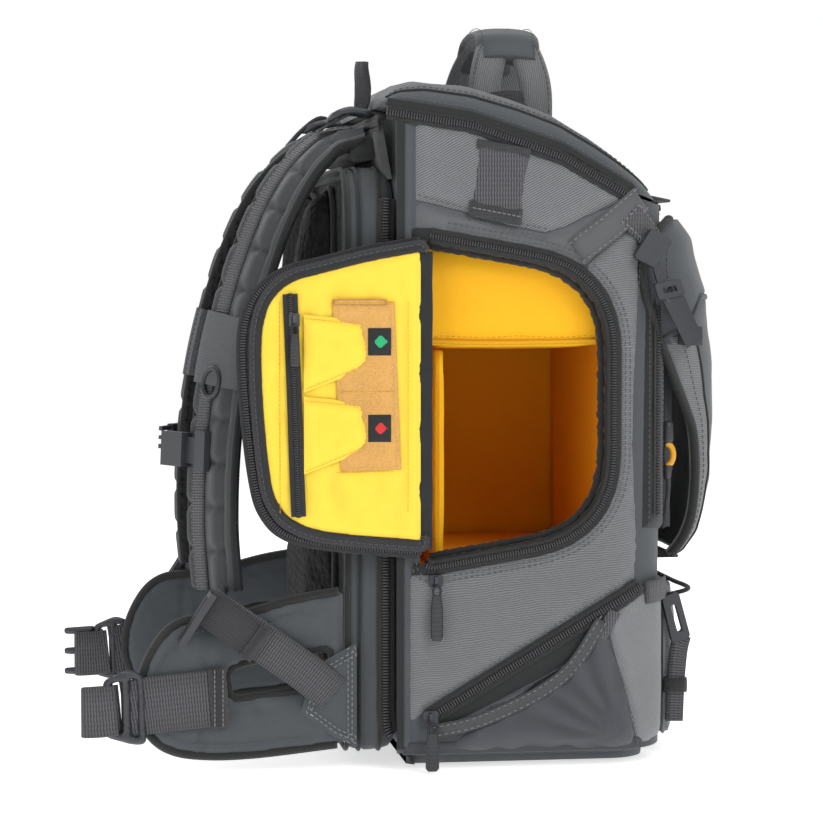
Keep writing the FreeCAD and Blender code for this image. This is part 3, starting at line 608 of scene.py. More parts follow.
def panel(name, outline, surface, material, body="bag", spacing=5.0, puff=2.5, soft=9.0, lift=1.2,
          tuck=2.4, wave=0.8, wave_size=30.0, extra=None, replaces=()):
    """A cloth piece laid on a surface, crowned in its middle and tucked in at its seams."""
    points, tris, edge = fill_outline(outline, spacing=spacing)
    seed = len(made) * LOOK_STEP
    verts = []
    for (a, b), d in zip(points, edge):
        full = 1 - math.exp(-d / soft)
        rise = lift + puff * full + wave * crumple(a, b, wave_size, seed) * full - tuck * math.exp(-d / 1.2)
        if extra:
            rise += extra(a, b, d)
        verts.append(surface(a, b, rise))
    uvs = [(a, b) for a, b in points]
    facing = surface(*points[0], 1.0) - surface(*points[0], 0.0)
    t = tris[len(tris) // 2]
    turn = (verts[t[1]] - verts[t[0]]).cross(verts[t[2]] - verts[t[0]])
    if turn.dot(facing) < 0:
        tris = [t[::-1] for t in tris]
    return build(name, verts, tris, material, body, uvs, replaces)


def pad(name, outline, surface, material, thick, body="bag", holes=(), spacing=5.0, soft=7.0, wave=0.6,
        replaces=(), extra=None):
    """A closed cushion: two faces joined at their edge. surface's zero is the middle of the pad."""
    points, tris, edge = fill_outline(outline, holes, spacing)
    n, seed = len(points), len(made) * LOOK_STEP
    verts = []
    for side in (1, -1):
        for (a, b), d in zip(points, edge):
            full = math.sqrt(max(0.0, 1 - math.exp(-d / soft)))
            rise = side * thick / 2 * full + wave * full * crumple(a, b, 28.0, seed + side)
            if extra:
                rise += side * extra(a, b, d, side)
            verts.append(surface(a, b, rise))
    faces = list(tris) + [tuple(n + i for i in t[::-1]) for t in tris]
    facing = surface(*points[0], 1.0) - surface(*points[0], 0.0)
    t = tris[len(tris) // 2]
    if (verts[t[1]] - verts[t[0]]).cross(verts[t[2]] - verts[t[0]]).dot(facing) < 0:
        faces = [f[::-1] for f in faces]
    uvs = [(a, b) for a, b in points] * 2
    piece = build(name, verts, faces, material, body, uvs, replaces)
    join_rim(piece)
    return piece


def join_rim(piece):
    """Closes the edge of a pad by merging the points that its two faces share."""
    shape = bmesh.new()
    shape.from_mesh(piece.data)
    bmesh.ops.remove_doubles(shape, verts=shape.verts, dist=0.00005)
    shape.to_mesh(piece.data)
    shape.free()


# %% Sections carried along a path
def flat_section(width, thick, edge=0.8):
    """A strap's section: flat, with slightly rounded selvedges."""
    w, t = width / 2, thick / 2
    e = min(edge, w * 0.4)
    return [(-w, -t * 0.4), (-w + e, -t), (-w / 3, -t), (w / 3, -t), (w - e, -t), (w, -t * 0.4),
            (w, t * 0.4),
            (w - e, t), (w / 3, t), (-w / 3, t), (-w + e, t), (-w, t * 0.4)]


def round_section(radius, flat=1.0, count=10):
    return [(radius * math.cos(2 * math.pi * k / count), radius * flat * math.sin(2 * math.pi * k / count))
            for k in range(count)]


def frames(points, normals, closed=False):
    """Along, across and normal directions at each point of a path."""
    result, n = [], len(points)
    for i, p in enumerate(points):
        ahead = points[(i + 1) % n] if closed or i + 1 < n else p
        behind = points[i - 1] if closed or i else p
        along = (ahead - behind).normalized()
        normal = normals[i] if isinstance(normals, list) else normals
        across = along.cross(normal).normalized()
        result.append((along, across, across.cross(along).normalized()))
    return result


def sweep(points, normals, section, closed=False, shape=None):
    """Points, faces and cloth coordinates of a section carried along a path; shape(i, a, b) may change it."""
    verts, uvs, faces = [], [], []
    m, n, length = len(section), len(points), 0.0
    girth = [0.0]
    for k in range(1, m):
        girth.append(girth[-1] + math.dist(section[k], section[k - 1]))
    for i, (p, (along, across, up)) in enumerate(zip(points, frames(points, normals, closed))):
        length += (p - points[i - 1]).length if i else 0.0
        for k, (a, b) in enumerate(section):
            if shape:
                a, b = shape(i, a, b)
            verts.append(p + across * a + up * b)
            uvs.append((length, girth[k] if k < m / 2 else girth[m // 2] - (girth[k] - girth[m // 2])))
    for i in range(n if closed else n - 1):
        j = (i + 1) % n
        for k in range(m):
            q = (k + 1) % m
            faces.append((i * m + k, i * m + q, j * m + q, j * m + k))
    if not closed:
        faces.append(tuple(range(m))[::-1])
        faces.append(tuple((n - 1) * m + k for k in range(m)))
    return verts, faces, uvs


def strap(name, points, normals, width, thick=1.6, material=None, body="bag", closed=False,
          step=3.0, replaces=(), smooth=True):
    """Flat webbing or tape along a path."""
    path = smooth_path(points, step, closed) if smooth else [Vector(p) for p in points]
    if isinstance(normals, list):
        normals = spread(normals, len(path))
    verts, faces, uvs = sweep(path, normals, flat_section(width, thick), closed)
    return build(name, verts, faces, material or WEBBING, body, uvs, replaces)


def spread(directions, count):
    """Directions given at a few stations, spread over a longer path."""
    last = len(directions) - 1
    result = []
    for i in range(count):
        at = i / max(1, count - 1) * last
        k = min(int(at), last - 1)
        result.append(Vector(directions[k]).lerp(Vector(directions[k + 1]), at - k).normalized())
    return result


def piping(name, points, radius, material, body="bag", closed=False, normals=Vector((0.3, -1, 0.2)),
           flat=1.0,
           pucker=0.0, step=3.0, replaces=()):
    """A cord or bound edge along a path, puckered if asked."""
    path = smooth_path(points, step, closed)
    if isinstance(normals, list):
        normals = spread(normals, len(path))

    def squeeze(i, a, b):
        swell = 1 + pucker * noise.noise(Vector((i * 0.9, a * 0.6, b * 0.6)))
        return a * swell, b * swell
    verts, faces, uvs = sweep(path, normals, round_section(radius, flat), closed,
                              squeeze if pucker else None)
    return build(name, verts, faces, material, body, uvs, replaces)


# %% Stitches and zip teeth
def bead(verts, faces, centre, along, up, length, width, height, arch=0.0):
    """One small rounded bar with its long axis along, added to the lists."""
    side, first = along.cross(up), len(verts)
    for t, r in ((-1.0, 0.35), (-0.6, 1.0), (0.6, 1.0), (1.0, 0.35)):
        for k in range(6):
            turn = math.pi / 3 * k
            verts.append(centre + along * (t * length / 2) + side * (math.cos(turn) * width / 2 * r)
                         + up * (math.sin(turn) * height / 2 * r + arch * (1 - t * t)))
    for s in range(3):
        for k in range(6):
            q = (k + 1) % 6
            faces.append((first + s * 6 + k, first + s * 6 + q, first + s * 6 + 6 + q,
                          first + s * 6 + 6 + k))
    faces.append(tuple(first + k for k in range(6))[::-1])
    faces.append(tuple(first + 18 + k for k in range(6)))


threads, STITCH_PITCH = {}, 4.4


def sew(points, normals, thread=None, body="bag", pitch=STITCH_PITCH, closed=False, length=2.9,
        thick=0.8, step_in=0.25):
    """A row of stitches along a path; all rows of one thread on one body become one piece at the end."""
    path = spaced(list(points) + ([points[0]] if closed else []), pitch, closed)
    if isinstance(normals, list):
        normals = spread(normals, len(path))
    verts, faces = threads.setdefault((body, (thread or DARK_THREAD).name), ([], []))
    for p, (along, _, up) in zip(path, frames(path, normals, closed)):
        bead(verts, faces, p + up * step_in, along, up, length, thick, thick * 0.8)


def laid(surface, flat_points, rise=0.0):
    """Points and normals on a surface for a line drawn flat."""
    on = [surface(p[0], p[1], rise) for p in flat_points]
    up = [(surface(p[0], p[1], rise + 1) - surface(p[0], p[1], rise)).normalized() for p in flat_points]
    return on, up


def zipper(name, points, normals, body="bag", tape=14.0, teeth=5.0, pitch=2.0, closed=False, replaces=()):
    """A coil zip: woven tape with a row of fat nylon teeth along it."""
    path = smooth_path(points, pitch, closed)
    if isinstance(normals, list):
        normals = spread(normals, len(path))
    verts, faces, uvs = sweep(path, normals, flat_section(tape, 1.0), closed)
    tape_faces = len(faces)
    teeth_verts, teeth_faces = [], []
    for p, (along, across, up) in zip(path, frames(path, normals, closed)):
        bead(teeth_verts, teeth_faces, p + up * 0.9, across, up, teeth, pitch * 0.78, 1.7, 0.7)
    n = len(verts)
    verts += teeth_verts
    uvs += [(0.0, 0.0)] * len(teeth_verts)
    faces += [tuple(n + i for i in f) for f in teeth_faces]
    which = [0] * tape_faces + [1] * (len(faces) - tape_faces)
    return build(name, verts, faces, BINDING, body, uvs, replaces, [COIL], which)


# %% Rounded blocks for padded boxes
def block(name, low, high, radius, material, body="bag", puff=3.0, cells=14, wave=0.5, replaces=(),
          taper=None):
    """A padded box: rounded edges and crowned faces, from a wrapped grid."""
    low, high = Vector(low), Vector(high)
    middle, half = (low + high) / 2, (high - low) / 2
    core = Vector([max(h - radius, 0.01) for h in half])
    verts, faces, index = [], [], {}

    def corner(x, y, z):
        key = (round(x, 5), round(y, 5), round(z, 5))
        if key not in index:
            unit = Vector(key)
            inner = Vector([math.copysign(min(abs(u) ** 0.9, 1), u) * c for u, c in zip(unit, core)])
            way = Vector([u if abs(u) > 0.999 else u ** 5 for u in unit]).normalized()
            crown = 1.0
            for u in unit:
                crown *= 1.0 if abs(u) > 0.999 else 1 - u ** 4
            p = middle + inner + way * (radius + puff * crown)
            p += way * wave * noise.noise(p / 26.0)
            if taper:
                p = taper(p)
            index[key] = len(verts)
            verts.append(p)
        return index[key]
    for axis in range(3):
        for side in (-1, 1):
            for i in range(cells):
                for j in range(cells):
                    ring = []
                    for a, b in ((i, j), (i + 1, j), (i + 1, j + 1), (i, j + 1)):
                        at = [0.0, 0.0, 0.0]
                        at[axis] = side
                        at[(axis + 1) % 3] = 2 * a / cells - 1
                        at[(axis + 2) % 3] = 2 * b / cells - 1
                        ring.append(corner(*at))
                    faces.append(tuple(ring if side > 0 else ring[::-1]))
    return build(name, verts, faces, material, body, None, replaces)


print("pattern tools ready")

# %% [markdown]
# ## The body of the bag
# The real body is a foam-lined tube of cloth that keeps its plan shape, a rectangle with generous front
# corners. It could be a box with a bevel, but then nothing would dip at the seams. So a plain slate
# shell is lofted first, with the doorway left out, and every panel that is sewn on it is cut flat and
# laid on its curve: s runs forwards along the side and on round the front corner, z runs up.

# %% The side surface
HALF, CORNER, FRONT, REAR = 158.0, 45.0, 128.0, -80.0
BEND = FRONT - CORNER


def under(z):
    """How far the cloth draws in towards the base."""
    t = max(0.0, min(1.0, (30.0 - z) / 22.0))
    return 13.0 * (1 - math.sqrt(max(0.0, 1 - t * t)))


def near(s, z, rise=0.0):
    """A point on the left side, and round its front corner."""
    rise -= under(z)
    if s <= BEND:
        return Vector((s, -HALF - rise, z))
    turn = min((s - BEND) / CORNER, math.pi / 2)
    past = max(0.0, s - BEND - CORNER * math.pi / 2)
    reach = CORNER + rise
    return Vector((BEND + reach * math.sin(turn), -HALF + CORNER - reach * math.cos(turn) + past, z))


def far(s, z, rise=0.0):
    p = near(s, z, rise)
    return Vector((p.x, -p.y, p.z))


def seam_height(x):
    """Height of the lid's seam."""
    return float(np.interp(x, [-92, -25, 43, 96, 119], [492, 482, 459, 429, 423]))


opening = rounded([(-58, 397, 3), (82, 372, 62), (82, 175, 62), (-58, 152, 3)], 4.0)
ring = inset_loop(opening, -5.0)


def stretch_of(loop, start, end):
    """The part of a closed loop that runs from the point nearest start to the one nearest end."""
    first = min(range(len(loop)), key=lambda i: (loop[i] - Vector(start)).length)
    last = min(range(len(loop)), key=lambda i: (loop[i] - Vector(end)).length)
    count = (last - first) % len(loop)
    return [loop[(first + k) % len(loop)] for k in range(count + 1)]


def densify(points, spacing=5.0):
    """A closed outline of straight runs with points added along them."""
    result = []
    for i, p in enumerate(points):
        a, b = Vector(p), Vector(points[(i + 1) % len(points)])
        count = max(1, round((b - a).length / spacing))
        result += [a.lerp(b, k / count) for k in range(count)]
    return result


# %% The shell
def plan_loop():
    """Points round the body's plan and their outward directions."""
    loop = []
    for k in range(19):
        loop.append((Vector((REAR + 8 + (BEND - REAR - 8) * k / 18, -HALF)), Vector((0, -1))))
    for k in range(1, 11):
        turn = math.pi / 2 * k / 10
        way = Vector((math.sin(turn), -math.cos(turn)))
        loop.append((Vector((BEND, -HALF + CORNER)) + way * CORNER, way))
    half = len(loop)
    for k in range(1, 12):
        loop.append((Vector((FRONT, -113 + 226 * k / 12)), Vector((1, 0))))
    for k in range(half - 1, -1, -1):
        p, way = loop[k]
        loop.append((Vector((p.x, -p.y)), Vector((way.x, -way.y))))
    loop.append((Vector((REAR, HALF - 8)), Vector((-1, 0))))
    for k in range(1, 12):
        loop.append((Vector((REAR, (HALF - 8) * (1 - 2 * k / 12))), Vector((-1, 0))))
    loop.append((Vector((REAR, -HALF + 8)), Vector((-1, 0))))
    return loop


def make_shell():
    loop, rows, verts, faces = plan_loop(), 96, [], []
    for r in range(rows + 1):
        t = r / rows
        for p, way in loop:
            z = 3 + (min(seam_height(p.x), 488) - 4) * t
            out = -under(z) - 0.8 + (2.0 * crumple(p.y, z, 55) if way.x > 0.9 else 0.0)
            verts.append((p.x + way.x * out, p.y + way.y * out, z))
    n = len(loop)
    hole = [tuple(p) for p in ring]
    for r in range(rows):
        for k in range(n):
            q = (k + 1) % n
            face = (r * n + k, r * n + q, (r + 1) * n + q, (r + 1) * n + k)
            middle = sum((Vector(verts[i]) for i in face), Vector()) / 4
            if middle.y < -150 and inside(np.array([[middle.x, middle.z]]), hole)[0]:
                continue
            faces.append(face)
    faces.append(tuple(range(n))[::-1])
    return build("body_shell", verts, faces, SLATE, replaces=["main_shell"])


make_shell()

# %% Panels of the side
zip_low, zip_high = Vector((-56, 40)), Vector((104, 135))
zip_up = Vector((-(zip_high - zip_low).y, (zip_high - zip_low).x)).normalized() * 6.5
lower_seam = [zip_low + zip_up, zip_high + zip_up]
upper_twill = densify([(-67, 483), (-25, 476), (43, 453), (88, 429), (97, 425), (72, 417), (45, 404),
                       (30, 400),
                       (0, 406), (-26, 414), (-67, 424)])
over_door = stretch_of(ring, (-58, 402), (62, 381))
top_slate = densify([tuple(p) for p in over_door] + [(80, 394), (98, 404), (101, 424), (97, 425), (72, 417),
                    (45, 404), (30, 400), (0, 406), (-26, 414), (-67, 424), (-67, 404)])
round_door = stretch_of(ring[::-1], (-58, 147), (62, 381))
side_twill = densify([tuple(p) for p in round_door] + [(80, 394), (98, 404), (105, 402), (103, 340),
                                                       (100, 290),
                     (99, 240), (103, 165), tuple(lower_seam[1]), tuple(lower_seam[0]), (-62, 42),
                     (-72, 34),
                     (-72, 148)])
lower_pale = densify([(76, 114), (104, 131), (118, 138), (140, 130), (140, 14), (107, 10), (99, 34),
                      (88, 72)])


def drawn(a, b, d):
    """Fine pulls that run out from the doorway's corners."""
    reach = Vector((a - 82, b - 172)).length
    turn = math.atan2(b - 172, a - 82)
    return 0.5 * math.sin(turn * 17) * math.exp(-((reach - 20) / 26) ** 2)


panel("side_panel_left", side_twill, near, TWILL, puff=2.6, wave=1.1, extra=drawn)
panel("upper_panel_left", upper_twill, near, RISING_TWILL, puff=2.4, wave=1.0)
panel("over_door_left", top_slate, near, SMOOTH, puff=2.0, wave=0.9, wave_size=22)
rear_strip = densify([(-80, 12), (-69.5, 12), (-68.5, 484), (-80, 486)])
panel("rear_strip_left", rear_strip, near, SLATE, puff=1.5)
panel("lower_corner_left", lower_pale, near, PALE_TWILL, puff=2.2, wave=1.2)
panel("side_panel_right", densify([(-68, 42), tuple(lower_seam[0]), tuple(lower_seam[1]), (103, 165),
                                   (99, 240),
                                   (103, 340), (105, 402), (72, 400), (30, 396), (-67, 420)]), far, TWILL,
      puff=4.0, soft=25, wave=1.6)
panel("upper_panel_right", upper_twill, far, RISING_TWILL, puff=2.4)
panel("over_side_right", densify([(101, 404), (101, 424), (97, 425), (72, 417), (45, 404), (72, 402)]), far,
      SLATE, puff=1.5)
panel("rear_strip_right", rear_strip, far, SLATE, puff=1.5)
panel("lower_corner_right", lower_pale, far, PALE_TWILL, puff=2.2, wave=1.2)


# %% Seams and stitches of the side
def seam(flat_points, rise=2.0, thread=None, sides=(near, far)):
    for surface in sides:
        on, up = laid(surface, spaced([Vector(p) for p in flat_points], 5.0), rise)
        sew(on, up, thread)


seam([(-64, 421), (-26, 410.5), (0, 402.5), (30, 396.5)], 3.0, DARK_THREAD)
seam([(-64, 427), (-26, 417), (0, 409), (30, 403)], 2.8)
for depth in (9.0, 12.5):
    line = [tuple(p) for p in inset_loop(opening, -depth)[4:-6]]
    seam(line, 3.0, sides=(near,))
seam([(101, 170), (97, 240), (98, 290), (101, 340), (103, 398)], 2.6)
seam([tuple(p + zip_up * 0.5) for p in lower_seam], 3.0)
print("side panels laid")

# %% [markdown]
# ## Doorway: puckered binding and coil zip
# The rim of the doorway is bound with black tape that puckers on the curve, and the zip's coil is sewn
# just outside it. A swept section with a random swell gives the puckers; the coil is a real row of
# teeth.

# %% Doorway rim
rim = inset_loop(opening, -1.0)
rim_line = stretch_of(rim[::-1], (-57, 151), (-57, 398))
for k, (depth, radius, sunk) in enumerate(((2.0, 2.9, 6.5), (5.5, 3.2, 13.5))):
    loop = stretch_of(inset_loop(opening, depth)[::-1], (-56, 157), (-56, 392))
    piping("door_rim_binding_%d" % k, [near(p.x, p.y, -sunk) for p in loop], radius, BINDING, pucker=0.5,
           flat=1.1, step=2.5)
zipper("door_opening_coil", [near(p.x, p.y, 1.2) for p in rim_line], LEFT, tape=11, teeth=4.6,
       replaces=["door_opening_zip"])
lip = stretch_of(inset_loop(opening, 2.0)[::-1], (-56, 156), (-56, 393))
wall = [[near(p.x, p.y, -5), near(p.x + (3 if p.x > 60 else 0), p.y, -10),
         near(p.x + (6 if p.x > 60 else 0),
         p.y, -20)] for p in lip]
wall_points = [v + Vector((0, 0, 0.9 * crumple(i, j * 3, 2.3))) for i, row in enumerate(wall)
               for j, v in enumerate(row)]
build("door_rim_wall", wall_points, grid_faces(len(wall), 3), BLACK)

# %% [markdown]
# ## Inside: padded cells
# The camera cell is lined with brushed orange cloth over foam. Each wall is a crowned pad with soft
# edges, and the block above the shelf is one thick cushion whose lower edge sags a little.

# %% Liner walls and dividers
def wall_pad(name, low, high, replaces=(), puff=2.0, radius=3.5):
    piece = block(name, low, high, radius, PADDING, puff=puff, replaces=replaces)
    return piece


wall_pad("cell_floor", (-70, -148, 141), (96, 150, 147), ["camera_liner"])
wall_pad("cell_front_wall", (95, -132, 141), (101, 150, 398), puff=3.0)
wall_pad("cell_rear_wall", (-75, -150, 141), (-70, 150, 398))
wall_pad("cell_far_wall", (-72, 146, 141), (102, 152, 398))
wall_pad("cell_ceiling", (-72, -146, 394), (100, 150, 399))
wall_pad("upper_cushion", (-68, -138, 315), (93, 145, 392), ["upper_divider"], puff=3.5, radius=9)
wall_pad("cell_divider_pad", (-47.5, -127, 147), (-41, 144, 312), ["cell_divider"], puff=1.5, radius=3)
for k, (x, z) in enumerate(((-68, 322), (93, 322))):
    piping("cushion_piping_%d" % k, [(x * 0.98, -140, z + 4), (x, -120, z - 2), (x, 100, z - 2)], 1.6,
           PADDING,
           normals=UP)
under_seam = [Vector((x, -141.2, 322.5 + 0.6 * math.sin(x / 9))) for x in range(-62, 90, 4)]
sew(under_seam, LEFT, YELLOW_THREAD)
piping("cushion_low_edge", [(-64, -138.5, 319.5), (0, -139.5, 318), (88, -138.5, 319.5)], 1.8, PADDING)

# %% [markdown]
# ## The side door
# Open, the door lies back against the shoulder straps with its lining outwards. It is a thin foam
# sandwich, dark outside, with its own half of the zip round the edge, a black binding, and a loose
# yellow lining that creases along its seams. Loose cloth needs slack: the lining is a panel with deep
# soft waves that fade at the binding.

# %% Corner patches and door outlines
for k, (low, high) in enumerate(((146, 155), (392.5, 403))):
    panel("hinge_corner_%d" % k, densify([(-69, low), (-52, low), (-52, high), (-69, high)], 3.0), near,
          BLACK,
          spacing=3, puff=0.6, soft=3, lift=1.6, tuck=1.4, wave=0.2)
DOOR_FACE, DOOR_MIDDLE = -167.0, -163.2


def door_out(x, z, rise=0.0):
    return Vector((x, DOOR_FACE - rise, z))


door_edge = smooth_path([(-64, 392), (-102, 386), (-139, 377), (-162, 371), (-181, 358), (-191, 341),
                         (-195, 314),
                         (-192, 263), (-186, 216), (-179, 194), (-164, 179), (-134, 171), (-64, 164)], 4.0)
door_outline = door_edge + densify([(-64, 164), (-63, 392)], 5.0)[1:45]
lining_outline = smooth_path([(-64, 388), (-102, 381), (-138, 372), (-159, 366), (-173, 355), (-181, 339),
                              (-184, 314), (-182, 263), (-177, 217), (-171, 200), (-159, 187),
                              (-132, 178), (-64, 171)],
                             5.0) + [Vector((-64, z)) for z in range(176, 387, 5)]


def door_creases(a, b, d):
    """Folds of the loose lining: upright ones near the hinge and slack across the middle."""
    full = 1 - math.exp(-d / 14)
    upright = 2.8 * math.sin((a + 64) / 5.2 + 0.8 * crumple(a, b, 60)) * math.exp(-(a + 64) ** 2 / 500)
    ridge = 1 - 2 * abs(crumple(a * 1.5 + b * 0.4, b * 0.6, 30, 8))
    slack = 2.4 * crumple(a * 1.6, b * 0.5, 26, 3) + 1.1 * crumple(a, b, 13, 5) + 1.6 * ridge ** 3
    calm = 1 - 0.85 * math.exp(-((a + 106) / 32) ** 6 - ((b - 287) / 76) ** 6)
    calm *= 1 - 0.7 * math.exp(-((a + 158) / 8) ** 2)
    return full * (upright + slack * calm)


# %% Door layers
pad("door_shell", door_outline, lambda x, z, rise=0.0: Vector((x, DOOR_MIDDLE - rise, z)), BLACK, 8.0,
    "door", soft=3.0,
    replaces=["door_panel", "door_lining", "door_zip"])
panel("door_lining_cloth", lining_outline, door_out, LINING, "door", spacing=4.0, puff=2.2, soft=8,
      lift=0.6,
      tuck=1.5, wave=0.8, extra=door_creases)
piping("door_inner_binding", [door_out(p.x, p.y, 0.6) for p in stretch_of(lining_outline, (-64, 386),
                                                                          (-64, 173))],
       2.3, BINDING, "door", normals=LEFT, flat=0.8, pucker=0.15)
zipper("door_edge_coil", [door_out(p.x, p.y, -2.6) for p in door_edge], LEFT, "door", tape=10,
       teeth=4.8)
mid_path = [door_out(p.x, p.y, 0.2) for p in stretch_of(inset_loop(lining_outline, -3.5), (-64, 386),
                                                        (-64, 173))]
strap("door_edge_tape", mid_path, LEFT, 7.0, 1.4, DARK_WEBBING, "door")
sew([p + Vector((0, -0.8, 0)) for p in mid_path], LEFT, DARK_THREAD, "door")
for x in (-168.5, -74.0):
    sew([door_out(x, z, 3.4) for z in range(196, 352, 4)], LEFT, YELLOW_THREAD, "door", 3.4, thick=0.5)
hinge_line = [Vector((-60.5, -165.0 + 1.2 * math.sin(z / 7), z)) for z in range(166, 390, 5)]
fold = strap("door_hinge_fold", hinge_line, LEFT, 11.0, 1.4, BLACK, None)
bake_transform(fold)

# %% [markdown]
# ## Card pockets in the door
# A tan net pocket holds two yellow tabs, each with a woven black square. Net is knitted, so it gets the
# open-cell finish; the tabs are cut with a slanting edge and bulge where cards go.

# %% Net, tabs and squares
net_outline = densify([(-130, 350), (-84, 349), (-79, 226), (-124, 224)], 5.0)
panel("card_net", net_outline, lambda x, z, r=0.0: door_out(x, z, r + 4.4), NET, "door", puff=0.8, lift=1.4,
      tuck=1.5, wave=0.3, replaces=["door_card_pockets"])
for k, z in enumerate((312, 252)):
    tab = densify([(-151, z + 28), (-130, z + 26), (-108, z + 22), (-103, z + 2), (-103, z - 8),
                   (-116, z - 16),
                   (-151, z - 29)], 4.0)
    panel("card_tab_%d" % k, tab, lambda x, y, r=0.0: door_out(x, y, r + 6.2), LINING, "door",
          spacing=4, puff=1.6,
          soft=6, lift=0.6, tuck=1.6, wave=1.4, wave_size=14)
    on, up = laid(door_out, [(-149, z + 25), (-130, z + 23), (-110, z + 19), (-106, z + 2), (-106, z - 7),
                             (-117, z - 13), (-149, z - 26)], 8.6)
    sew(smooth_path(on, 4), LEFT, YELLOW_THREAD, "door", 3.2, thick=0.5)
    high = z + (8, 4.5)[k]
    square = densify([(-104, high + 10), (-87, high + 10), (-87, high - 10), (-104, high - 10)], 2.5)
    panel("card_square_%d" % k, square, lambda x, y, r=0.0: door_out(x, y, r + 7.2), BLACK, "door",
          spacing=3,
          puff=0.5, soft=2, lift=0.6, tuck=1.0, wave=0.1)
    mark = densify([(-95, high + 6), (-89.5, high), (-95, high - 6), (-100.5, high)], 1.5)
    panel("card_mark_%d" % k, mark, lambda x, y, r=0.0: door_out(x, y, r + 8.2),
          (GREEN_MARK, RED_MARK)[k], "door",
          spacing=2, puff=0.2, soft=2, lift=0.4, tuck=0.5, wave=0.0)
for z in (350, 285, 226):
    sew([door_out(x, z - 1.5, 6.3) for x in range(-126, -82, 4)], LEFT, YELLOW_THREAD, "door", 3.2,
        thick=0.5)
strap("card_net_hem", [door_out(x, 349, 6.0) for x in range(-130, -82, 8)],
      LEFT, 4.0, 1.0, NET, "door")
zipper("pocket_coil", [door_out(x, z, 4.8) for x, z in ((-161, 355), (-160, 330), (-158, 280),
                                                        (-156.5, 230),
       (-155, 192))], LEFT, "door", tape=11, teeth=3.6, pitch=1.7, replaces=["pocket_zip"])
print("door made")

# %% [markdown]
# ## Lower side: slanting zip and stretch pocket
# A second zip slants across the lower side, and below it a pocket of stretch cloth is gathered into a
# webbing hem. The gathers run down from the hem and out from the lower corner, so they are drawn as
# waves round those two places and fade where the cloth is pulled tight.

# %% Slanting zip
zip_dark = densify([tuple(zip_low + zip_up * 0.6), tuple(zip_high + zip_up * 0.6), (107, 128),
                    (74, 108), (52, 78),
                    (28, 58), (-3, 43), (-27, 35), (-50, 31)])


def side_lower(side, turn, body):
    surface = near if turn > 0 else far
    line = [zip_low.lerp(zip_high, t / 20) for t in range(21)]
    on, up = laid(surface, line, 1.8)
    zipper("bottom_coil_" + side, on, up, tape=13, teeth=6.0, pitch=2.1,
           replaces=["bottom_zip"] if turn > 0 else [])
    panel("zip_gusset_" + side, zip_dark, surface, BLACK, puff=1.0, lift=0.3)
    hem = smooth_path([(-51, 30), (-27, 34.5), (-3, 43), (28, 58), (52, 77), (74, 110)], 4.0)
    low = [(80, 98), (88, 72), (98, 36), (104, 12), (60, 11), (0, 11), (-52, 11)]
    outline = hem + densify(low, 4.0)[:-6]

    def gathers(a, b, d):
        reach = Vector((a - 92, b - 20)).length
        turn_at = math.atan2(b - 20, a - 92)
        fan = math.sin(turn_at * 21 + 1.3 * crumple(a, b, 40)) * math.exp(-((reach - 55) / 45) ** 2)
        over = math.sin(a / 4.1 + 1.5 * crumple(a, b, 30)) * math.exp(-d / 14) * min(1, d / 3)
        return 1.9 * fan + 1.3 * over + 5.0 * (1 - math.exp(-d / 26))
    pocket = panel("stretch_pocket_" + side, outline, surface, STRETCH, spacing=3.5, puff=2.4, soft=5,
                   lift=1.6,
                   wave=0.9, wave_size=18, extra=gathers, replaces=["side_pocket_" + side])
    on, up = laid(surface, hem, 4.2)
    strap("pocket_hem_" + side, on, up, 10.5, 1.8, GREY_BINDING, smooth=False)
    for shift in (-3.4, 3.4):
        moved = [p + Vector((-shift * 0.5, shift * 0.85)) for p in hem]
        on, up = laid(surface, moved, 5.1)
        sew(on, up, PALE_THREAD, pitch=5.0)
    tab = densify([(66, 97), (80, 119), (88, 115), (75, 92)], 3.0)
    panel("pocket_hem_tab_" + side, tab, surface, WEBBING, spacing=3, puff=1.0, lift=4.5, tuck=1.5,
          wave=0.2)
    seam([(88, 70), (98, 34), (104, 12)], 3.2, sides=(surface,))
    strap("base_binding_" + side, [surface(s, 16, 1.0) for s in range(-76, 150, 8)],
          [(surface(s, 16, 1) - surface(s, 16, 0)) for s in range(-76, 150, 8)], 9, 2.0, STRETCH)
    print(side, "pocket and slanting zip made")


both_sides(side_lower)

# %% [markdown]
# ## Lid
# The lid is a shallow padded cap whose cloth is pulled over foam, with a coil zip all round its foot. It
# is lofted from arches set along the bag; each arch is flat on top with soft shoulders, and a little
# lower at the front.

# %% Lid shell
LID_X = [-91, -78, -60, -25, 10, 40, 68, 84, 98, 108, 116, 119]
LID_CREST = [500, 511, 514, 509, 500, 489, 474, 463, 452, 441, 431, 426]


def lid_point(x, t, rise=0.0):
    """A point on the lid: x from rear to front, t from -1 at the left seam to 1 at the right one."""
    crest = float(np.interp(x, LID_X, LID_CREST))
    foot = seam_height(x) + 1.5
    tall = max(crest - foot, 0.5)
    turn = t * math.pi / 2
    half = HALF + 0.5 + rise
    y = half * math.copysign(abs(math.sin(turn)) ** 0.42, turn)
    up = abs(math.cos(turn)) ** 0.62
    front = max(0.0, (x - 80) / 39)
    y *= 1 - 0.16 * front ** 3
    dome = 4.0 * math.cos(turn) * math.sin(math.pi * min(1, max(0, (x + 91) / 200)))
    return Vector((x + rise * 0.3 * front, y, foot + tall * up + dome + rise * math.cos(turn) ** 0.5))


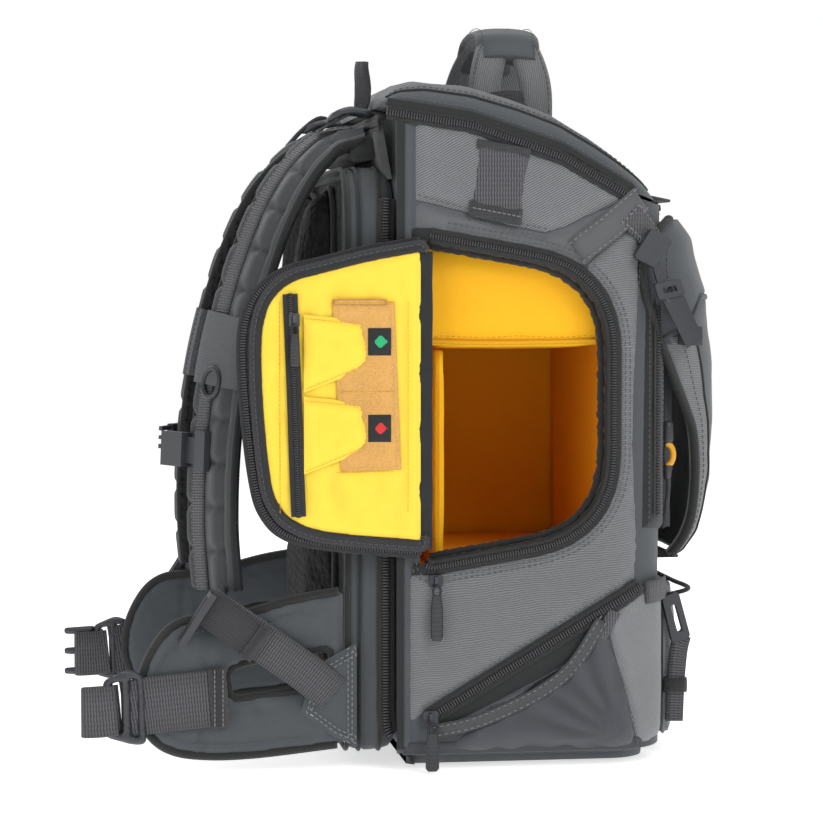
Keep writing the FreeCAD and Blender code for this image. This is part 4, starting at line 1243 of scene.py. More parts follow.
def make_lid():
    cols, rows = 72, 64
    verts = []
    for i in range(cols + 1):
        x = LID_X[0] + (LID_X[-1] - LID_X[0]) * (i / cols)
        for j in range(rows + 1):
            t = -1 + 2 * j / rows
            p = lid_point(x, t)
            p += Vector((0, 0, 1.3 * crumple(x, p.y, 38, 4) * math.cos(t * math.pi / 2)))
            verts.append(p)
    n = rows + 1
    faces = grid_faces(cols + 1, n, turn=-1)
    faces.append(tuple(range(n)))
    faces.append(tuple(cols * n + k for k in range(n))[::-1])
    faces.append(tuple([i * n for i in range(cols + 1)] + [i * n + rows for i in range(cols, -1, -1)]))
    return build("lid_cloth", verts, faces, SLATE, "lid", replaces=["lid_shell"])


make_lid()
for side, surface in (("left", near), ("right", far)):
    line = [(x, seam_height(x) - 3.0) for x in range(-88, 100, 6)]
    on, up = laid(surface, line, 2.0)
    zipper("lid_coil_" + side, on, up, tape=11, teeth=5.6, pitch=2.0,
           replaces=["top_zip"] if surface is near else [])
    line = [(x, seam_height(x) + 4.5) for x in range(-88, 104, 6)]
    on, up = laid(surface, line, 1.6)
    strap("lid_edge_tape_" + side, on, up, 6.0, 1.8, BLACK, "lid",
          replaces=["lid_zip"] if surface is near else [])
    line = [(x, seam_height(x) + 10) for x in range(-84, 100, 6)]
    on, up = laid(surface, line, 1.4)
    sew(on, up, DARK_THREAD, "lid")
for t in (-0.62, 0.62):
    sew([lid_point(x, t, 0.6) for x in range(-84, 116, 5)], Vector((0, math.copysign(0.4, t), 1)),
        DARK_THREAD,
        "lid")
    piping("lid_piping_%s" % ("left" if t < 0 else "right"),
           [lid_point(x, t * 1.12, 0.2) for x in range(-88, 117, 8)], 1.3, BLACK, "lid",
           normals=Vector((0, math.copysign(1, t), 1)))
lid_root = strap("lid_root", [Vector((119, y, 427)) for y in range(-132, 133, 8)], Vector((0.2, 0, 1)),
                 26, 2.2, SLATE,
                 None)
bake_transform(lid_root)
zipper("front_ridge_coil", [Vector((129.6, y, 420)) for y in range(-100, 101, 8)], Vector((1, 0, 0.15)),
       tape=12,
       teeth=5.4, pitch=2.2)
rear_line = [Vector((-93.0, y, 481)) for y in range(-150, 151, 10)]
zipper("rear_ridge_coil", rear_line, BEHIND, tape=12, teeth=5.4, pitch=2.2)

# %% [markdown]
# ## Carry handle
# The handle is a webbing loop wrapped in padded cloth. Near each end it parts into two legs, and the
# grip joins them. Each leg is a thick strap that follows an arch; the grip is a wider padded tube with a
# stitched underside.

# %% Handle legs and grip
def arch(x_foot, x_top, lift=0.0):
    half = [(x_foot, -69, 486), (x_foot, -66, 512), (x_foot * 0.6 + x_top * 0.4, -56, 534),
            (x_top, -38, 552 + lift)]
    return half + [(x_top, 0, 557 + lift)] + [(x, -y, z) for x, y, z in half[::-1]]


def make_handle():
    for name, foot, top in (("rear", 0.0, 13.0), ("front", 40.0, 31.0)):
        path = smooth_path(arch(foot, top), 3.0)
        out = [Vector((0, p.y, (p.z - 470) * 0.9)).normalized() for p in path]
        verts, faces, uvs = sweep(path, out, flat_section(25, 6.0, 3.0))
        build("handle_leg_" + name, verts, faces, TWILL, "lid", uvs,
              ["carry_handle"] if name == "rear" else [])
        for shift in (-9.5, 9.5):
            sew([p + Vector((shift, 0, 0)) + o * 2.9 for p, o in zip(path, out)], out, DARK_THREAD, "lid")
    path = smooth_path(arch(20, 22, 1.5)[2:7], 2.5)
    out = [Vector((0, p.y, (p.z - 470) * 0.9)).normalized() for p in path]

    def quilt(i, a, b):
        return a, b * (1 + 0.08 * math.sin(i * 0.9))
    verts, faces, uvs = sweep(path, out, round_section(25, 0.20, 18), shape=quilt)
    build("handle_grip", verts, faces, SLATE, "lid", uvs)
    for shift in (-20, 0, 20):
        sew([p + Vector((shift, 0, 0)) + o * 4.4 for p, o in zip(path, out)], out, DARK_THREAD, "lid")
    for side in (-1, 1):
        foot = [Vector((x, side * (69.5 + 1.5 * math.sin(x / 9)), 504 - abs(x - 20) * 0.12))
                for x in range(-13, 54, 4)]
        strap("handle_foot_%s" % ("left" if side < 0 else "right"), foot, Vector((0, side, 0.25)), 15, 2.6,
              DARK_WEBBING, "lid")


make_handle()

# %% [markdown]
# ## Laptop compartment
# Behind the bag sits a slim case with its own zip, a rounded top and piped ribs round its edge. Its
# gusset is one strip of cloth carried round the outline of the back panel, crowned between two lines of
# piping.

# %% Laptop case
CASE_REAR, CASE_DEPTH = -117.5, 36.5


def case_outline(grow=0.0):
    y, low, high = 145 + grow, 14 - grow, 448 + grow
    return rounded([(-y, low, 14), (-y, high, 46), (y, high, 46), (y, low, 14)], 6.0)


def make_case():
    outline, columns = case_outline(), 11
    verts, faces, uvs, n, length = [], [], [], len(outline), 0.0
    for i, p in enumerate(outline):
        length += (p - outline[i - 1]).length if i else 0
        run = (outline[(i + 1) % n] - outline[i - 1]).normalized()
        out = Vector((run.y, -run.x))
        if out.dot(p - Vector((0, 230))) < 0:
            out = -out
        for k in range(columns):
            t = k / (columns - 1)
            x = CASE_REAR + CASE_DEPTH * t
            crown = 2.6 * math.sin(math.pi * t) + 0.9 * crumple(i * 6, x, 24) * math.sin(math.pi * t)
            crown -= 2.2 * math.exp(-((t - 0.3) / 0.05) ** 2) + 5 * (math.exp(-t / 0.05)
                                                                     + math.exp(-(1 - t) / 0.05))
            at = p + out * (crown - 1)
            verts.append((x, at.x, at.y))
            uvs.append((x, length))
    for i in range(n):
        j = (i + 1) % n
        for k in range(columns - 1):
            faces.append((i * columns + k, i * columns + k + 1, j * columns + k + 1, j * columns + k)[::-1])
    faces.append(tuple(i * columns for i in range(n)))
    faces.append(tuple(i * columns + columns - 1 for i in range(n))[::-1])
    piece = build("laptop_case_cloth", verts, faces, SLATE, "bag", uvs, ["laptop_case", "frame_sheet"])
    for k, (x, radius, grow) in enumerate(((-116.5, 1.9, 0.4), (-107, 1.3, 1.4), (-92, 1.6, 1.2))):
        piping("case_piping_%d" % k, [Vector((x, p.x, p.y)) for p in case_outline(grow)], radius, BLACK,
               closed=True, normals=AHEAD, step=4)


make_case()
coil_line = [Vector((-87.5, -147.6, z)) for z in range(44, 414, 6)]
coil_line = [Vector((-84.0, -147.6, 26)), Vector((-86.5, -147.6, 32))] + coil_line + [Vector((-86.5,
                                                                                              -146, 425))]
zipper("laptop_coil", coil_line, LEFT, tape=13, teeth=6.6, pitch=2.2, replaces=["laptop_zip"])
mirror_line = [Vector((p.x, -p.y, p.z)) for p in coil_line]
zipper("laptop_coil_right", mirror_line, RIGHT, tape=13, teeth=6.6, pitch=2.2)
for side in (-1, 1):
    strip = densify([(-81, 16), (-76, 16), (-75, 484), (-81, 484)])
    panel("zip_flap_%s" % ("left" if side < 0 else "right"), strip, (near, far)[side > 0], BLACK,
          puff=0.8, lift=3.8,
          tuck=1.0, wave=0.2)
panel("upper_back_cloth", densify([(-146, 440), (146, 440), (146, 486), (-146, 486)], 8),
      lambda y, z, rise=0.0: Vector((-84 - rise - 8 * (z - 440) / 46, y, z)), BLACK, puff=3.0, spacing=8)
print("laptop case made")

# %% [markdown]
# ## Back pads
# The pads that touch the back are open foam under spacer mesh. Each starts as a thin slab cut to its
# outline, is remeshed evenly, and is inflated as cloth: pressure swells the middle while the edge stays
# nearly where it was.

# %% Inflating a pad
def inflate(piece, pressure=4.0, cap=9.0, voxel=5.5, rounds=16):
    """Swells a closed slab with a short cloth simulation and keeps the result in its mesh."""
    remesh = piece.modifiers.new("even", "REMESH")
    remesh.mode, remesh.voxel_size = "VOXEL", voxel * MM
    settle(piece)
    before = [v.co.copy() for v in piece.data.vertices]
    scene = bpy.context.scene
    scene.frame_start, scene.frame_end = 1, rounds
    cloth_mod = piece.modifiers.new("swell", "CLOTH")
    cloth_mod.settings.quality = 4
    cloth_mod.settings.use_pressure = True
    cloth_mod.settings.uniform_pressure_force = pressure
    cloth_mod.settings.effector_weights.gravity = 0.0
    cloth_mod.settings.tension_stiffness = 20
    cloth_mod.settings.compression_stiffness = 20
    cloth_mod.point_cache.frame_start, cloth_mod.point_cache.frame_end = 1, rounds
    for frame_number in range(1, rounds + 1):
        scene.frame_set(frame_number)
    settle(piece)
    scene.frame_set(1)
    for vertex, start in zip(piece.data.vertices, before):
        moved = vertex.co - start
        if moved.length > cap * MM:
            vertex.co = start + moved.normalized() * cap * MM
    for layer in list(piece.data.uv_layers):
        piece.data.uv_layers.remove(layer)
    box_map(piece.data)
    piece.data.polygons.foreach_set("use_smooth", [True] * len(piece.data.polygons))
    return piece


def settle(piece):
    """Applies a piece's modifiers to its mesh."""
    bpy.context.view_layer.update()
    depsgraph = bpy.context.evaluated_depsgraph_get()
    mesh = bpy.data.meshes.new_from_object(piece.evaluated_get(depsgraph))
    materials = list(piece.data.materials)
    piece.modifiers.clear()
    piece.data = mesh
    if not mesh.materials:
        for each in materials:
            mesh.materials.append(each)


def back_plane(x):
    return lambda y, z, rise=0.0: Vector((x - rise, y, z))


# %% Back pads
PAD_CUTS = {"lumbar_pad": ([(-108, 64, 22), (-108, 183, 26), (108, 183, 26), (108, 64, 22)],
                           "harness_pads"),
            "back_pad_left": ([(-108, 237, 22), (-102, 438, 34), (-20, 430, 20), (-20, 237, 20)], None),
            "back_pad_right": ([(20, 237, 20), (20, 430, 20), (102, 438, 34), (108, 237, 22)], None)}
for name, (cut, node) in PAD_CUTS.items():
    slab = pad(name, rounded(cut, 7.0), back_plane(-124 if node else -127), AIR_MESH,
               15 if node else 20, spacing=8, soft=5,
               replaces=[node] if node else [])
    inflate(slab)
    line = rounded(cut, 5.0)
    piping(name + "_binding", [Vector((-121.5, p.x, p.y)) for p in line], 2.4, BINDING, closed=True,
           normals=BEHIND)
panel("air_channel", densify([(-120, 60), (120, 60), (118, 440), (-118, 440)], 8),
      lambda y, z, rise=0.0: Vector((-118.5 - rise, y, z)), AIR_MESH, puff=0.8, spacing=9, lift=0.2,
      tuck=1.0)
print("back pads made")

# %% [markdown]
# ## Shoulder straps
# A strap is a foam pad sewn in short puffy segments on each side of a centre webbing, with a piped edge
# and spacer mesh next to the body. Its centre line curves away from the back and its lower part turns
# outwards. The segments are modelled directly: a closed section is carried along the line and dips at
# every seam.

# %% Strap line and section
STRAP_WIDTH, STRAP_THICK, SEGMENT, WEB_AT = 64.0, 14.0, 33.0, -10.0
STRAP_LINE = [(-99, -88, 472, 0, 6), (-128, -89, 464, 30, 16), (-158, -91, 430, 60, 24),
              (-182, -94, 376, 71, 28), (-200, -98, 312, 78, 28), (-210, -103, 247, 85, 28),
              (-213, -108, 185, 91, 28), (-210, -112, 133, 95, 28)]


def strap_frames(step=3.0):
    """Centre, across and outward directions down the left strap."""
    centres = smooth_path([p[:3] for p in STRAP_LINE], step)
    heights = [-p[2] for p in STRAP_LINE]
    rows = []
    for i, c in enumerate(centres):
        run = math.radians(float(np.interp(-c.z, heights, [p[3] for p in STRAP_LINE])))
        twist = math.radians(float(np.interp(-c.z, heights, [p[4] for p in STRAP_LINE])))
        out = Vector((-math.sin(run), 0, math.cos(run)))
        across = Vector((0, -math.cos(twist), 0)) - out * math.sin(twist)
        rows.append((c, across, out * math.cos(twist) + Vector((0, -math.sin(twist), 0)), i * step))
    return rows


def strap_height(at, a):
    """Height of the outer face above the middle, for a distance down the strap and across it."""
    half = STRAP_WIDTH / 2
    edge = (half - abs(a)) / half
    body = STRAP_THICK / 2 * (1 - math.exp(-edge * 7))
    seam_gap = abs((at + 9) % SEGMENT - SEGMENT / 2)
    off = abs(a - WEB_AT) if a < WEB_AT else (a - WEB_AT) * 21 / 33
    quilt = 4.2 * math.exp(-((SEGMENT / 2 - seam_gap) / 3.4) ** 2) if 8 < off < 21 else 0.0
    channel = 2.4 * math.exp(-((off - 9) / 1.3) ** 2) + 3.0 * math.exp(-((off - 20) / 1.3) ** 2)
    puffy = 3.2 * math.sin(math.pi * (off - 8.5) / 12) if 8.5 < off < 20.5 else 0.0
    return max(0.6, body + puffy - quilt - channel)


def shoulder_strap(side, turn, body):
    rows, columns = strap_frames(), 40
    verts, uvs = [], []
    place = lambda p: Vector((p.x, p.y * turn, p.z))
    for c, across, out, at in rows:
        for k in range(columns):
            angle = 2 * math.pi * k / columns
            a = STRAP_WIDTH / 2 * math.copysign(abs(math.cos(angle)) ** 0.8, math.cos(angle))
            top = math.sin(angle) >= 0
            b = strap_height(at, a) if top else -STRAP_THICK / 2 * (1 - math.exp(-(1 - abs(a) / 32) * 9))
            b += 0.5 * crumple(at, a, 17, 2.0) if top else 0.0
            verts.append(place(c + across * a + out * b))
            uvs.append((at, a))
    faces = grid_faces(len(rows), columns, True, turn)
    which = [0 if k < columns / 2 else 1 for _ in rows[1:] for k in range(columns)]
    faces += [tuple(range(columns)), tuple((len(rows) - 1) * columns + k for k in range(columns))[::-1]]
    which += [0, 0]
    piece = build("shoulder_pad_" + side, verts, faces, STRAP_SHADED_SLATE, "bag", uvs,
                  ["shoulder_strap_" + side], [AIR_MESH],
                  which)
    web = [place(c + across * WEB_AT + out * 7.8) for c, across, out, _ in rows[2:]]
    normals = [Vector((o.x, o.y * turn, o.z)) for _, _, o, _ in rows[2:]]
    strap("strap_webbing_" + side, web, normals, 18, 1.8, WEBBING, smooth=False)
    for a in (-29.5, 29.5):
        edge = [place(c + across * a + out * 1.8) for c, across, out, _ in rows]
        piping("strap_piping_%s_%s" % (side, "near" if a > 0 else "inner"), edge, 2.6, BLACK,
               normals=normals, step=4)
    for a in (WEB_AT - 7.5, WEB_AT + 7.5):
        sew([place(c + across * a + out * 8.6) for c, across, out, _ in rows[2:]], normals, DARK_THREAD)
    sleeve(side, rows, place, turn)


def sleeve(side, rows, place, turn):
    """The elastic band round the strap that holds its ring."""
    part = [r for r in rows if 284 <= r[0].z <= 338]
    verts, uvs, n = [], [], 28
    for c, across, out, at in part:
        for k in range(n):
            angle = 2 * math.pi * k / n
            a = 34 * math.copysign(abs(math.cos(angle)) ** 0.7, math.cos(angle))
            b = 10.4 * math.copysign(abs(math.sin(angle)) ** 0.6, math.sin(angle))
            verts.append(place(c + across * a + out * (b + 0.4 * math.sin(at * 2.1))))
            uvs.append((a + (80 if b < 0 else 0), at))
    build("strap_sleeve_" + side, verts, grid_faces(len(part), n, True, turn), GREY_BINDING, "bag", uvs)


both_sides(shoulder_strap)

# %% Yoke, load lifters and their tails
yoke = block("yoke_cloth", (-112, -118, 455), (-86, 118, 474), 8, BLACK, puff=1.0)


def load_lifter(side, turn, body):
    y = -90.0 * turn
    up = Vector((-0.2, 0, 1))
    strap("lifter_webbing_" + side, [(-132, y, 477), (-118, y, 485), (-104, y, 491), (-90, y, 489)], up,
          24, 2.0, DARK_WEBBING, replaces=["load_lifters"] if turn > 0 else [])
    frame_cut = rounded([(-13, -9, 5), (13, -9, 5), (15, 9, 5), (-15, 9, 5)], 2.0)
    window = rounded([(-9, -2, 1.5), (9, -2, 1.5), (10, 4.5, 1.5), (-10, 4.5, 1.5)], 2.0)[::-1]

    def on_lifter(a, b, rise=0.0):
        return Vector((-108 + b * 2.0, y + a, 492.5 + b * 0.2 + rise - 0.075 * b * b))
    pad("lifter_buckle_" + side, frame_cut, on_lifter, PLASTIC, 7.0, holes=[window], spacing=2.5,
        soft=1.2, wave=0)
    tail = [(-101, y, 490), (-98, y, 500), (-97.5, y, 512), (-98.5, y, 524), (-98, y, 530)]
    lean = [(-1, -0.2 * turn, 0.2), (-0.75, -0.66 * turn, 0), (-0.7, -0.71 * turn, 0),
            (-0.8, -0.6 * turn, 0),
            (-0.9, -0.4 * turn, 0)]
    if turn < 0:
        tail = [(-100, y, 493), (-112, y, 497), (-126, y, 487), (-138, y, 474)]
        lean = up
    strap("lifter_tail_" + side, tail, lean, 15, 3.4, DARK_WEBBING)


both_sides(load_lifter)
print("straps made")

# %% [markdown]
# ## Hip belt
# Each half of the belt is a forked foam wing bound round its edge and round its hole, with a ladder lock
# and a slanting web that steadies the bag.

# %% Wings
WING_Y, WEB_Y, BELT_Y = 146.0, 157.0, 153.0
WING_CUT = [(-119.5, 134, 3), (-160, 128, 40), (-200, 115, 40), (-246, 116, 26), (-270, 78, 30),
            (-272, 40, 24),
            (-252, 16, 20), (-204, 11, 60), (-119.5, 20, 3)]
WING_HOLE = [(-128, 92, 6), (-175, 86, 30), (-207, 78, 10), (-204, 54, 8), (-165, 59, 30), (-128, 62, 6)]


def wing(side, turn, body):
    face = Vector((0, -turn, 0))
    joined = lambda piece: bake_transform(piece)
    middle = lambda x, z, rise=0.0: Vector((x, (-WING_Y - rise) * turn, z))
    outline, hole = rounded(WING_CUT, 5.0), rounded(WING_HOLE, 4.0)

    def creases(a, b, d, side_of_pad):
        near_hole = edge_distance(np.array([[a, b]]), [[tuple(p) for p in hole]])[0]
        fan = math.atan2(b - 66, a + 200)
        dash = 1.6 * math.exp(-((a + 227 - 0.05 * b) / 1.7) ** 2)
        rim = 1.2 * math.exp(-((d - 9) / 1.6) ** 2)
        return math.sin(fan * 9) * math.exp(-near_hole / 16) - dash - rim
    slab = pad("hip_pad_" + side, outline, middle, SLATE, 13.5, None, [hole], spacing=4.0, soft=9, wave=0.9,
               extra=creases, replaces=["hip_wing_" + side])
    joined(slab)
    rim = smooth_path([middle(p.x, p.y, 0) for p in outline if p.x < -122.0], 4)
    joined(piping("hip_binding_" + side, rim, 3.6, BINDING, None, normals=face, flat=1.25))
    joined(piping("hip_hole_binding_" + side, [middle(p.x, p.y, 0) for p in hole], 3.0, BINDING, None,
                  True, face))
    inner = [p for p in inset_loop(outline, 9) if p.x < -146]
    sew([middle(p.x, p.y, 5.6) for p in inner], face, DARK_THREAD, body, 5.0)
    sew([middle(-226 - 0.05 * (60 - z), z, 5.2) for z in range(24, 112, 4)], face, DARK_THREAD, body, 5.0)


both_sides(wing, "wing_left", "wing_right")


# %% Steadying web and gusset
def steadier(side, turn, body):
    face = Vector((0, -turn, 0))
    at = lambda x, z, out: Vector((x, (-WEB_Y - out) * turn, z))
    strap("steady_web_" + side, [at(-128, 58, -1.5), at(-150, 76, 0), at(-185, 101, 0.6),
                                 at(-214, 121, 1.2),
          at(-222, 127, -3)], face, 29, 2.0, WEBBING, replaces=["stabiliser_strap_" + side])
    strap("steady_tail_" + side, [at(-221, 127, 3.5), at(-214, 120, 5.2), at(-196, 106, 4.2),
                                  at(-182, 95, 3.6)],
          face, 27, 2.2, DARK_WEBBING)
    strap("steady_hem_" + side, [at(-190, 101, 5.2), at(-182, 95, 5.0)], face, 27.5, 2.6, DARK_WEBBING,
          smooth=False)
    gusset = densify([(-110, 96), (-110, 18), (-128, 26), (-152, 44), (-143, 78)], 4.0)
    panel("gusset_" + side, gusset, lambda x, z, r=0.0: Vector((x, (-153.2 - r) * turn, z)), SLATE,
          puff=1.6,
          lift=0.8, tuck=2.0, wave=0.8)
    for inset in (4.0, 7.0):
        sew([at(p.x, p.y, -0.7) for p in inset_loop(gusset, inset)], face, PALE_THREAD, closed=True)
    strap("steady_link_" + side, [(-205, -126.5 * turn, 125), (-212, -140 * turn, 125),
                                  (-219, -152 * turn, 124)], Vector((0.85, -0.5 * turn, 0)), 22, 2.0,
                                  DARK_WEBBING)


both_sides(steadier)


# %% Belt webbing and buckle halves
def waist(side, turn, body):
    face = Vector((0, -turn, 0))
    at = lambda x, z, out: Vector((x, (-BELT_Y - out) * turn, z))
    name, node = (("socket", "waist_socket"), ("plug", "waist_plug"))[turn < 0]
    strap("belt_web_" + side, [at(-206, 58, 1.6), at(-232, 56, 3.0), at(-262, 53, 2.0),
                               at(-283, 50, 1.2)], face,
          42, 2.2, WEBBING, body, replaces=[node])
    strap("belt_web_end_" + side, [at(-207, 58, 3.4), at(-219, 57.2, 4.4)], face, 44, 2.2, DARK_WEBBING,
          body,
          smooth=False)
    for x in (-210, -216):
        sew([at(x, z, 5.8) for z in range(38, 80, 3)], face, PALE_THREAD, body, 3.6)
    cut = rounded([(-279, 80, 5), (-268, 76, 4), (-266, 24, 5), (-276, 24, 4), (-296, 30, 4),
                   (-298, 72, 5)], 2.5)
    windows = [rounded([(-291, 70, 2), (-285, 71, 2), (-284, 33, 2), (-290, 34, 2)], 2.0)[::-1],
               rounded([(-278, 73, 2), (-273, 72, 2), (-272, 30, 2), (-277, 31, 2)], 2.0)[::-1]]
    pad("belt_%s_frame" % name, cut, lambda x, z, r=0.0: at(x, z, 2.6 + r), PLASTIC, 6.0, body, windows,
        2.5, 1.3, 0)
    loop = [at(-288, 50, 5.4), at(-300, 49, 5.6), at(-311, 48.5, 3.6), at(-312.5, 48.5, 1.0),
            at(-309, 48.5, -1.4),
            at(-296, 49, -1.6), at(-285, 50, -0.4)]
    lean = [face, face, Vector((-0.7, -0.7 * turn, 0)), BEHIND, Vector((-0.6, 0.8 * turn, 0)), -face,
            -face]
    strap("belt_loop_" + side, loop, lean, 37, 2.2, WEBBING, body, step=2.0)
    if turn < 0:
        for z in (34, 51, 68):
            tip = rounded([(-297, z + 4, 1), (-322, z + 2.6, 2), (-322, z - 2.6, 2), (-297, z - 4, 1)], 2.0)
            pad("belt_prong_%d" % z, tip, lambda x, y, r=0.0: at(x, y, 2.0 + r), PLASTIC, 4.0, body, (),
                2.5, 1.2, 0)


both_sides(waist, "wing_left", "wing_right")
print("hip belt made")

# %% [markdown]
# ## Front flap and pockets
# A stash flap hangs on the front, hinged at its foot and held by a buckle on each side near the top. Its
# sides are crescents of twill with a bound rear edge that bows away from the bag, which leaves a dark
# gap over the organiser pocket. The face and the two crescents are separate cloths, as they are sewn.

# %% Flap
FLAP_CREST = [(411, 150), (397, 160), (352, 172), (302, 180), (255, 181), (212, 178), (172, 169),
              (156, 158),
              (152, 146)]
FLAP_EDGE = [(131, -128, 411), (122, -141, 404), (109, -150, 390), (104, -154, 374), (108, -152, 352),
             (113, -148, 340), (119.5, -142, 322), (129, -135, 304), (138, -128, 285), (147, -123, 265),
             (153, -120, 247), (155, -119, 219), (153, -118, 188), (147, -117, 169), (137, -116, 154)]


def make_flap():
    edge = smooth_path(FLAP_EDGE, 3.5)
    columns, verts, uvs, which, slants = 56, [], [], [], []
    for i, e in enumerate(edge):
        crest = float(np.interp(-e.z, [-z for z, _ in FLAP_CREST], [x for _, x in FLAP_CREST]))
        for k in range(columns + 1):
            v = -1 + 2 * k / columns
            x = e.x + (crest - e.x) * (1 - abs(v) ** 6)
            slant = e.z - 352 + 34 * (abs(v) - 0.75) / 0.25 if abs(v) > 0.75 else e.z - 352
            fold = 1.6 * math.exp(-(slant / 2.0) ** 2) + 1.5 * math.exp(-((1 - abs(v)) / 0.05) ** 2)
            wave = 1.5 * crumple(v * 118, e.z, 34, 6) + 0.7 * crumple(v * 118, e.z, 14, 9)
            way = Vector((1 - 0.75 * abs(v) ** 4, 0.8 * v ** 5, 0)).normalized()
            verts.append(Vector((x, -e.y * v, e.z)) + way * (wave - fold))
            uvs.append((v * 135, i * 3.5))
            slants.append(slant)
            if k < columns and i < len(edge) - 1:
                which.append(1 if slant > 0 or abs(v + 1 / columns) < 0.86 else 0)
    n = columns + 1
    cut = []
    for k in range(n):
        i = next(r for r in range(1, len(edge)) if slants[r * n + k] <= 0)
        cut.append(Vector(verts[i * n + k]).lerp(Vector(verts[(i - 1) * n + k]), 0.5) + Vector((0.4, 0, 0)))
    piping("flap_seam", cut, 2.3, SLATE, "flap", normals=AHEAD, flat=0.8)
    for name, column in (("left", 4), ("right", 52)):
        line = [Vector(verts[i * n + column]) for i in range(len(edge)) if slants[i * n + column] <= 0]
        piping("flap_face_seam_" + name, line, 1.7, BLACK, "flap", normals=AHEAD, flat=0.7)
    piece = build("flap_cloth", verts, grid_faces(len(edge), n, turn=-1), TWILL, "flap", uvs,
                  ["front_flap"], [SLATE], which)
    thick = piece.modifiers.new("thick", "SOLIDIFY")
    thick.thickness, thick.offset = 4.5 * MM, -1.0
    settle(piece)
    for side, turn in (("left", 1), ("right", -1)):
        rim = [Vector((p.x + 0.8, (p.y + 1.5) * turn, p.z)) for p in edge]
        piping("flap_binding_" + side, rim, 3.3, BINDING, "flap", normals=Vector((0.5, -turn, 0)), flat=1.2)
        column = 2 if turn > 0 else n - 3
        line = [Vector(verts[i * n + column]) for i in range(10, len(edge) - 3)]
        sew(line, Vector((0.9, -turn, 0)), DARK_THREAD, "flap")


make_flap()
root = strap("flap_root", [Vector((137, y, 152)) for y in range(-104, 105, 8)], Vector((0, 0, -1)), 18,
             2.4, BLACK,
             None)
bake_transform(root)


# %% Organiser pocket, lower pocket and toggle
organiser = block("organiser_pocket", (128, -108, 174), (139, 108, 395), 6, SLATE, puff=2.5,
                  replaces=["front_pocket"])
lower_pocket = block("lower_pocket", (128, -112, 14), (155, 112, 127), 13, TWILL, puff=4.0,
                     replaces=["lower_front_pocket"],
                     taper=lambda p: Vector((128 + (p.x - 128) * (1 - 0.75 * abs(p.y / 118) ** 2.4),
                                             p.y, p.z)))
piping("lower_pocket_piping", [(128 + 26 * math.sin(a), y, 127 - 6 * (1 - math.sin(a)))
                               for a, y in ((0.3, -112), (1.4, -106), (1.55, -50), (1.55, 50),
                                            (1.4, 106), (0.3, 112))],
       1.8, BLACK, normals=UP)


def organiser_side(side, turn, body):
    surface = near if turn > 0 else far
    cut = densify([(108, 178), (150, 174), (150, 392), (112, 396), (110, 300)], 5.0)
    panel("organiser_side_" + side, cut, surface, BLACK, puff=1.8, wave=0.8, wave_size=20)
    line = [(122, z) for z in range(188, 384, 6)]
    on, up = laid(surface, line, 2.8)
    zipper("organiser_coil_" + side, on, up, tape=11, teeth=4.6, pitch=2.2)
    for s in (112, 134):
        seam([(s, z) for z in range(182, 390, 5)], 2.8, sides=(surface,))


both_sides(organiser_side)


def turned(name, foot, profile, material, body="bag", axis=UP, count=20):
    """A moulded piece turned about an axis; profile is (radius, height)."""
    aside = axis.orthogonal().normalized()
    other = axis.cross(aside)
    verts = [Vector(foot) + axis * h + (aside * math.cos(2 * math.pi * k / count)
             + other * math.sin(2 * math.pi * k / count)) * r for r, h in profile for k in range(count)]
    faces = grid_faces(len(profile), count, True)
    faces += [tuple(range(count))[::-1], tuple((len(profile) - 1) * count + k for k in range(count))]
    return build(name, verts, faces, material, body)


toggle = Vector((131.5, -127.5, 0))
turned("toggle_barrel", toggle + Vector((0, 0, 241)), [(3.4, 0), (4.4, 1), (4.6, 3), (4.4, 12),
                                                       (4.0, 15.5), (2.6, 16.5)],
       PLASTIC)
turned("toggle_lower_barrel", toggle + Vector((0, 0, 213)), [(1.6, 0), (2.8, 1), (3.4, 6), (4.2, 10),
                                                             (3.6, 11)],
       PLASTIC)
hook = [toggle + Vector((x, -1, z)) for x, z in ((-1.5, 241), (2.6, 238), (4.2, 232), (2.6, 226),
                                                 (-1.2, 223))]
piping("toggle_hook", hook, 2.4, YELLOW_PLASTIC, normals=LEFT, step=1.5, replaces=["bungee_hook"])
piping("toggle_bar", [toggle + Vector((-1.5, -1, 242)), toggle + Vector((-2.6, -1, 232)),
                      toggle + Vector((-1.4, -1, 223))], 1.3, PLASTIC, step=1.5)
piping("toggle_cord", [(132, -109.5, 175), (132, -116, 182), (131.5, -127.5, 202),
                       (131.5, -127.5, 214)], 1.6,
       DARK_WEBBING, normals=AHEAD, step=2.5, replaces=["bungee_cord"])


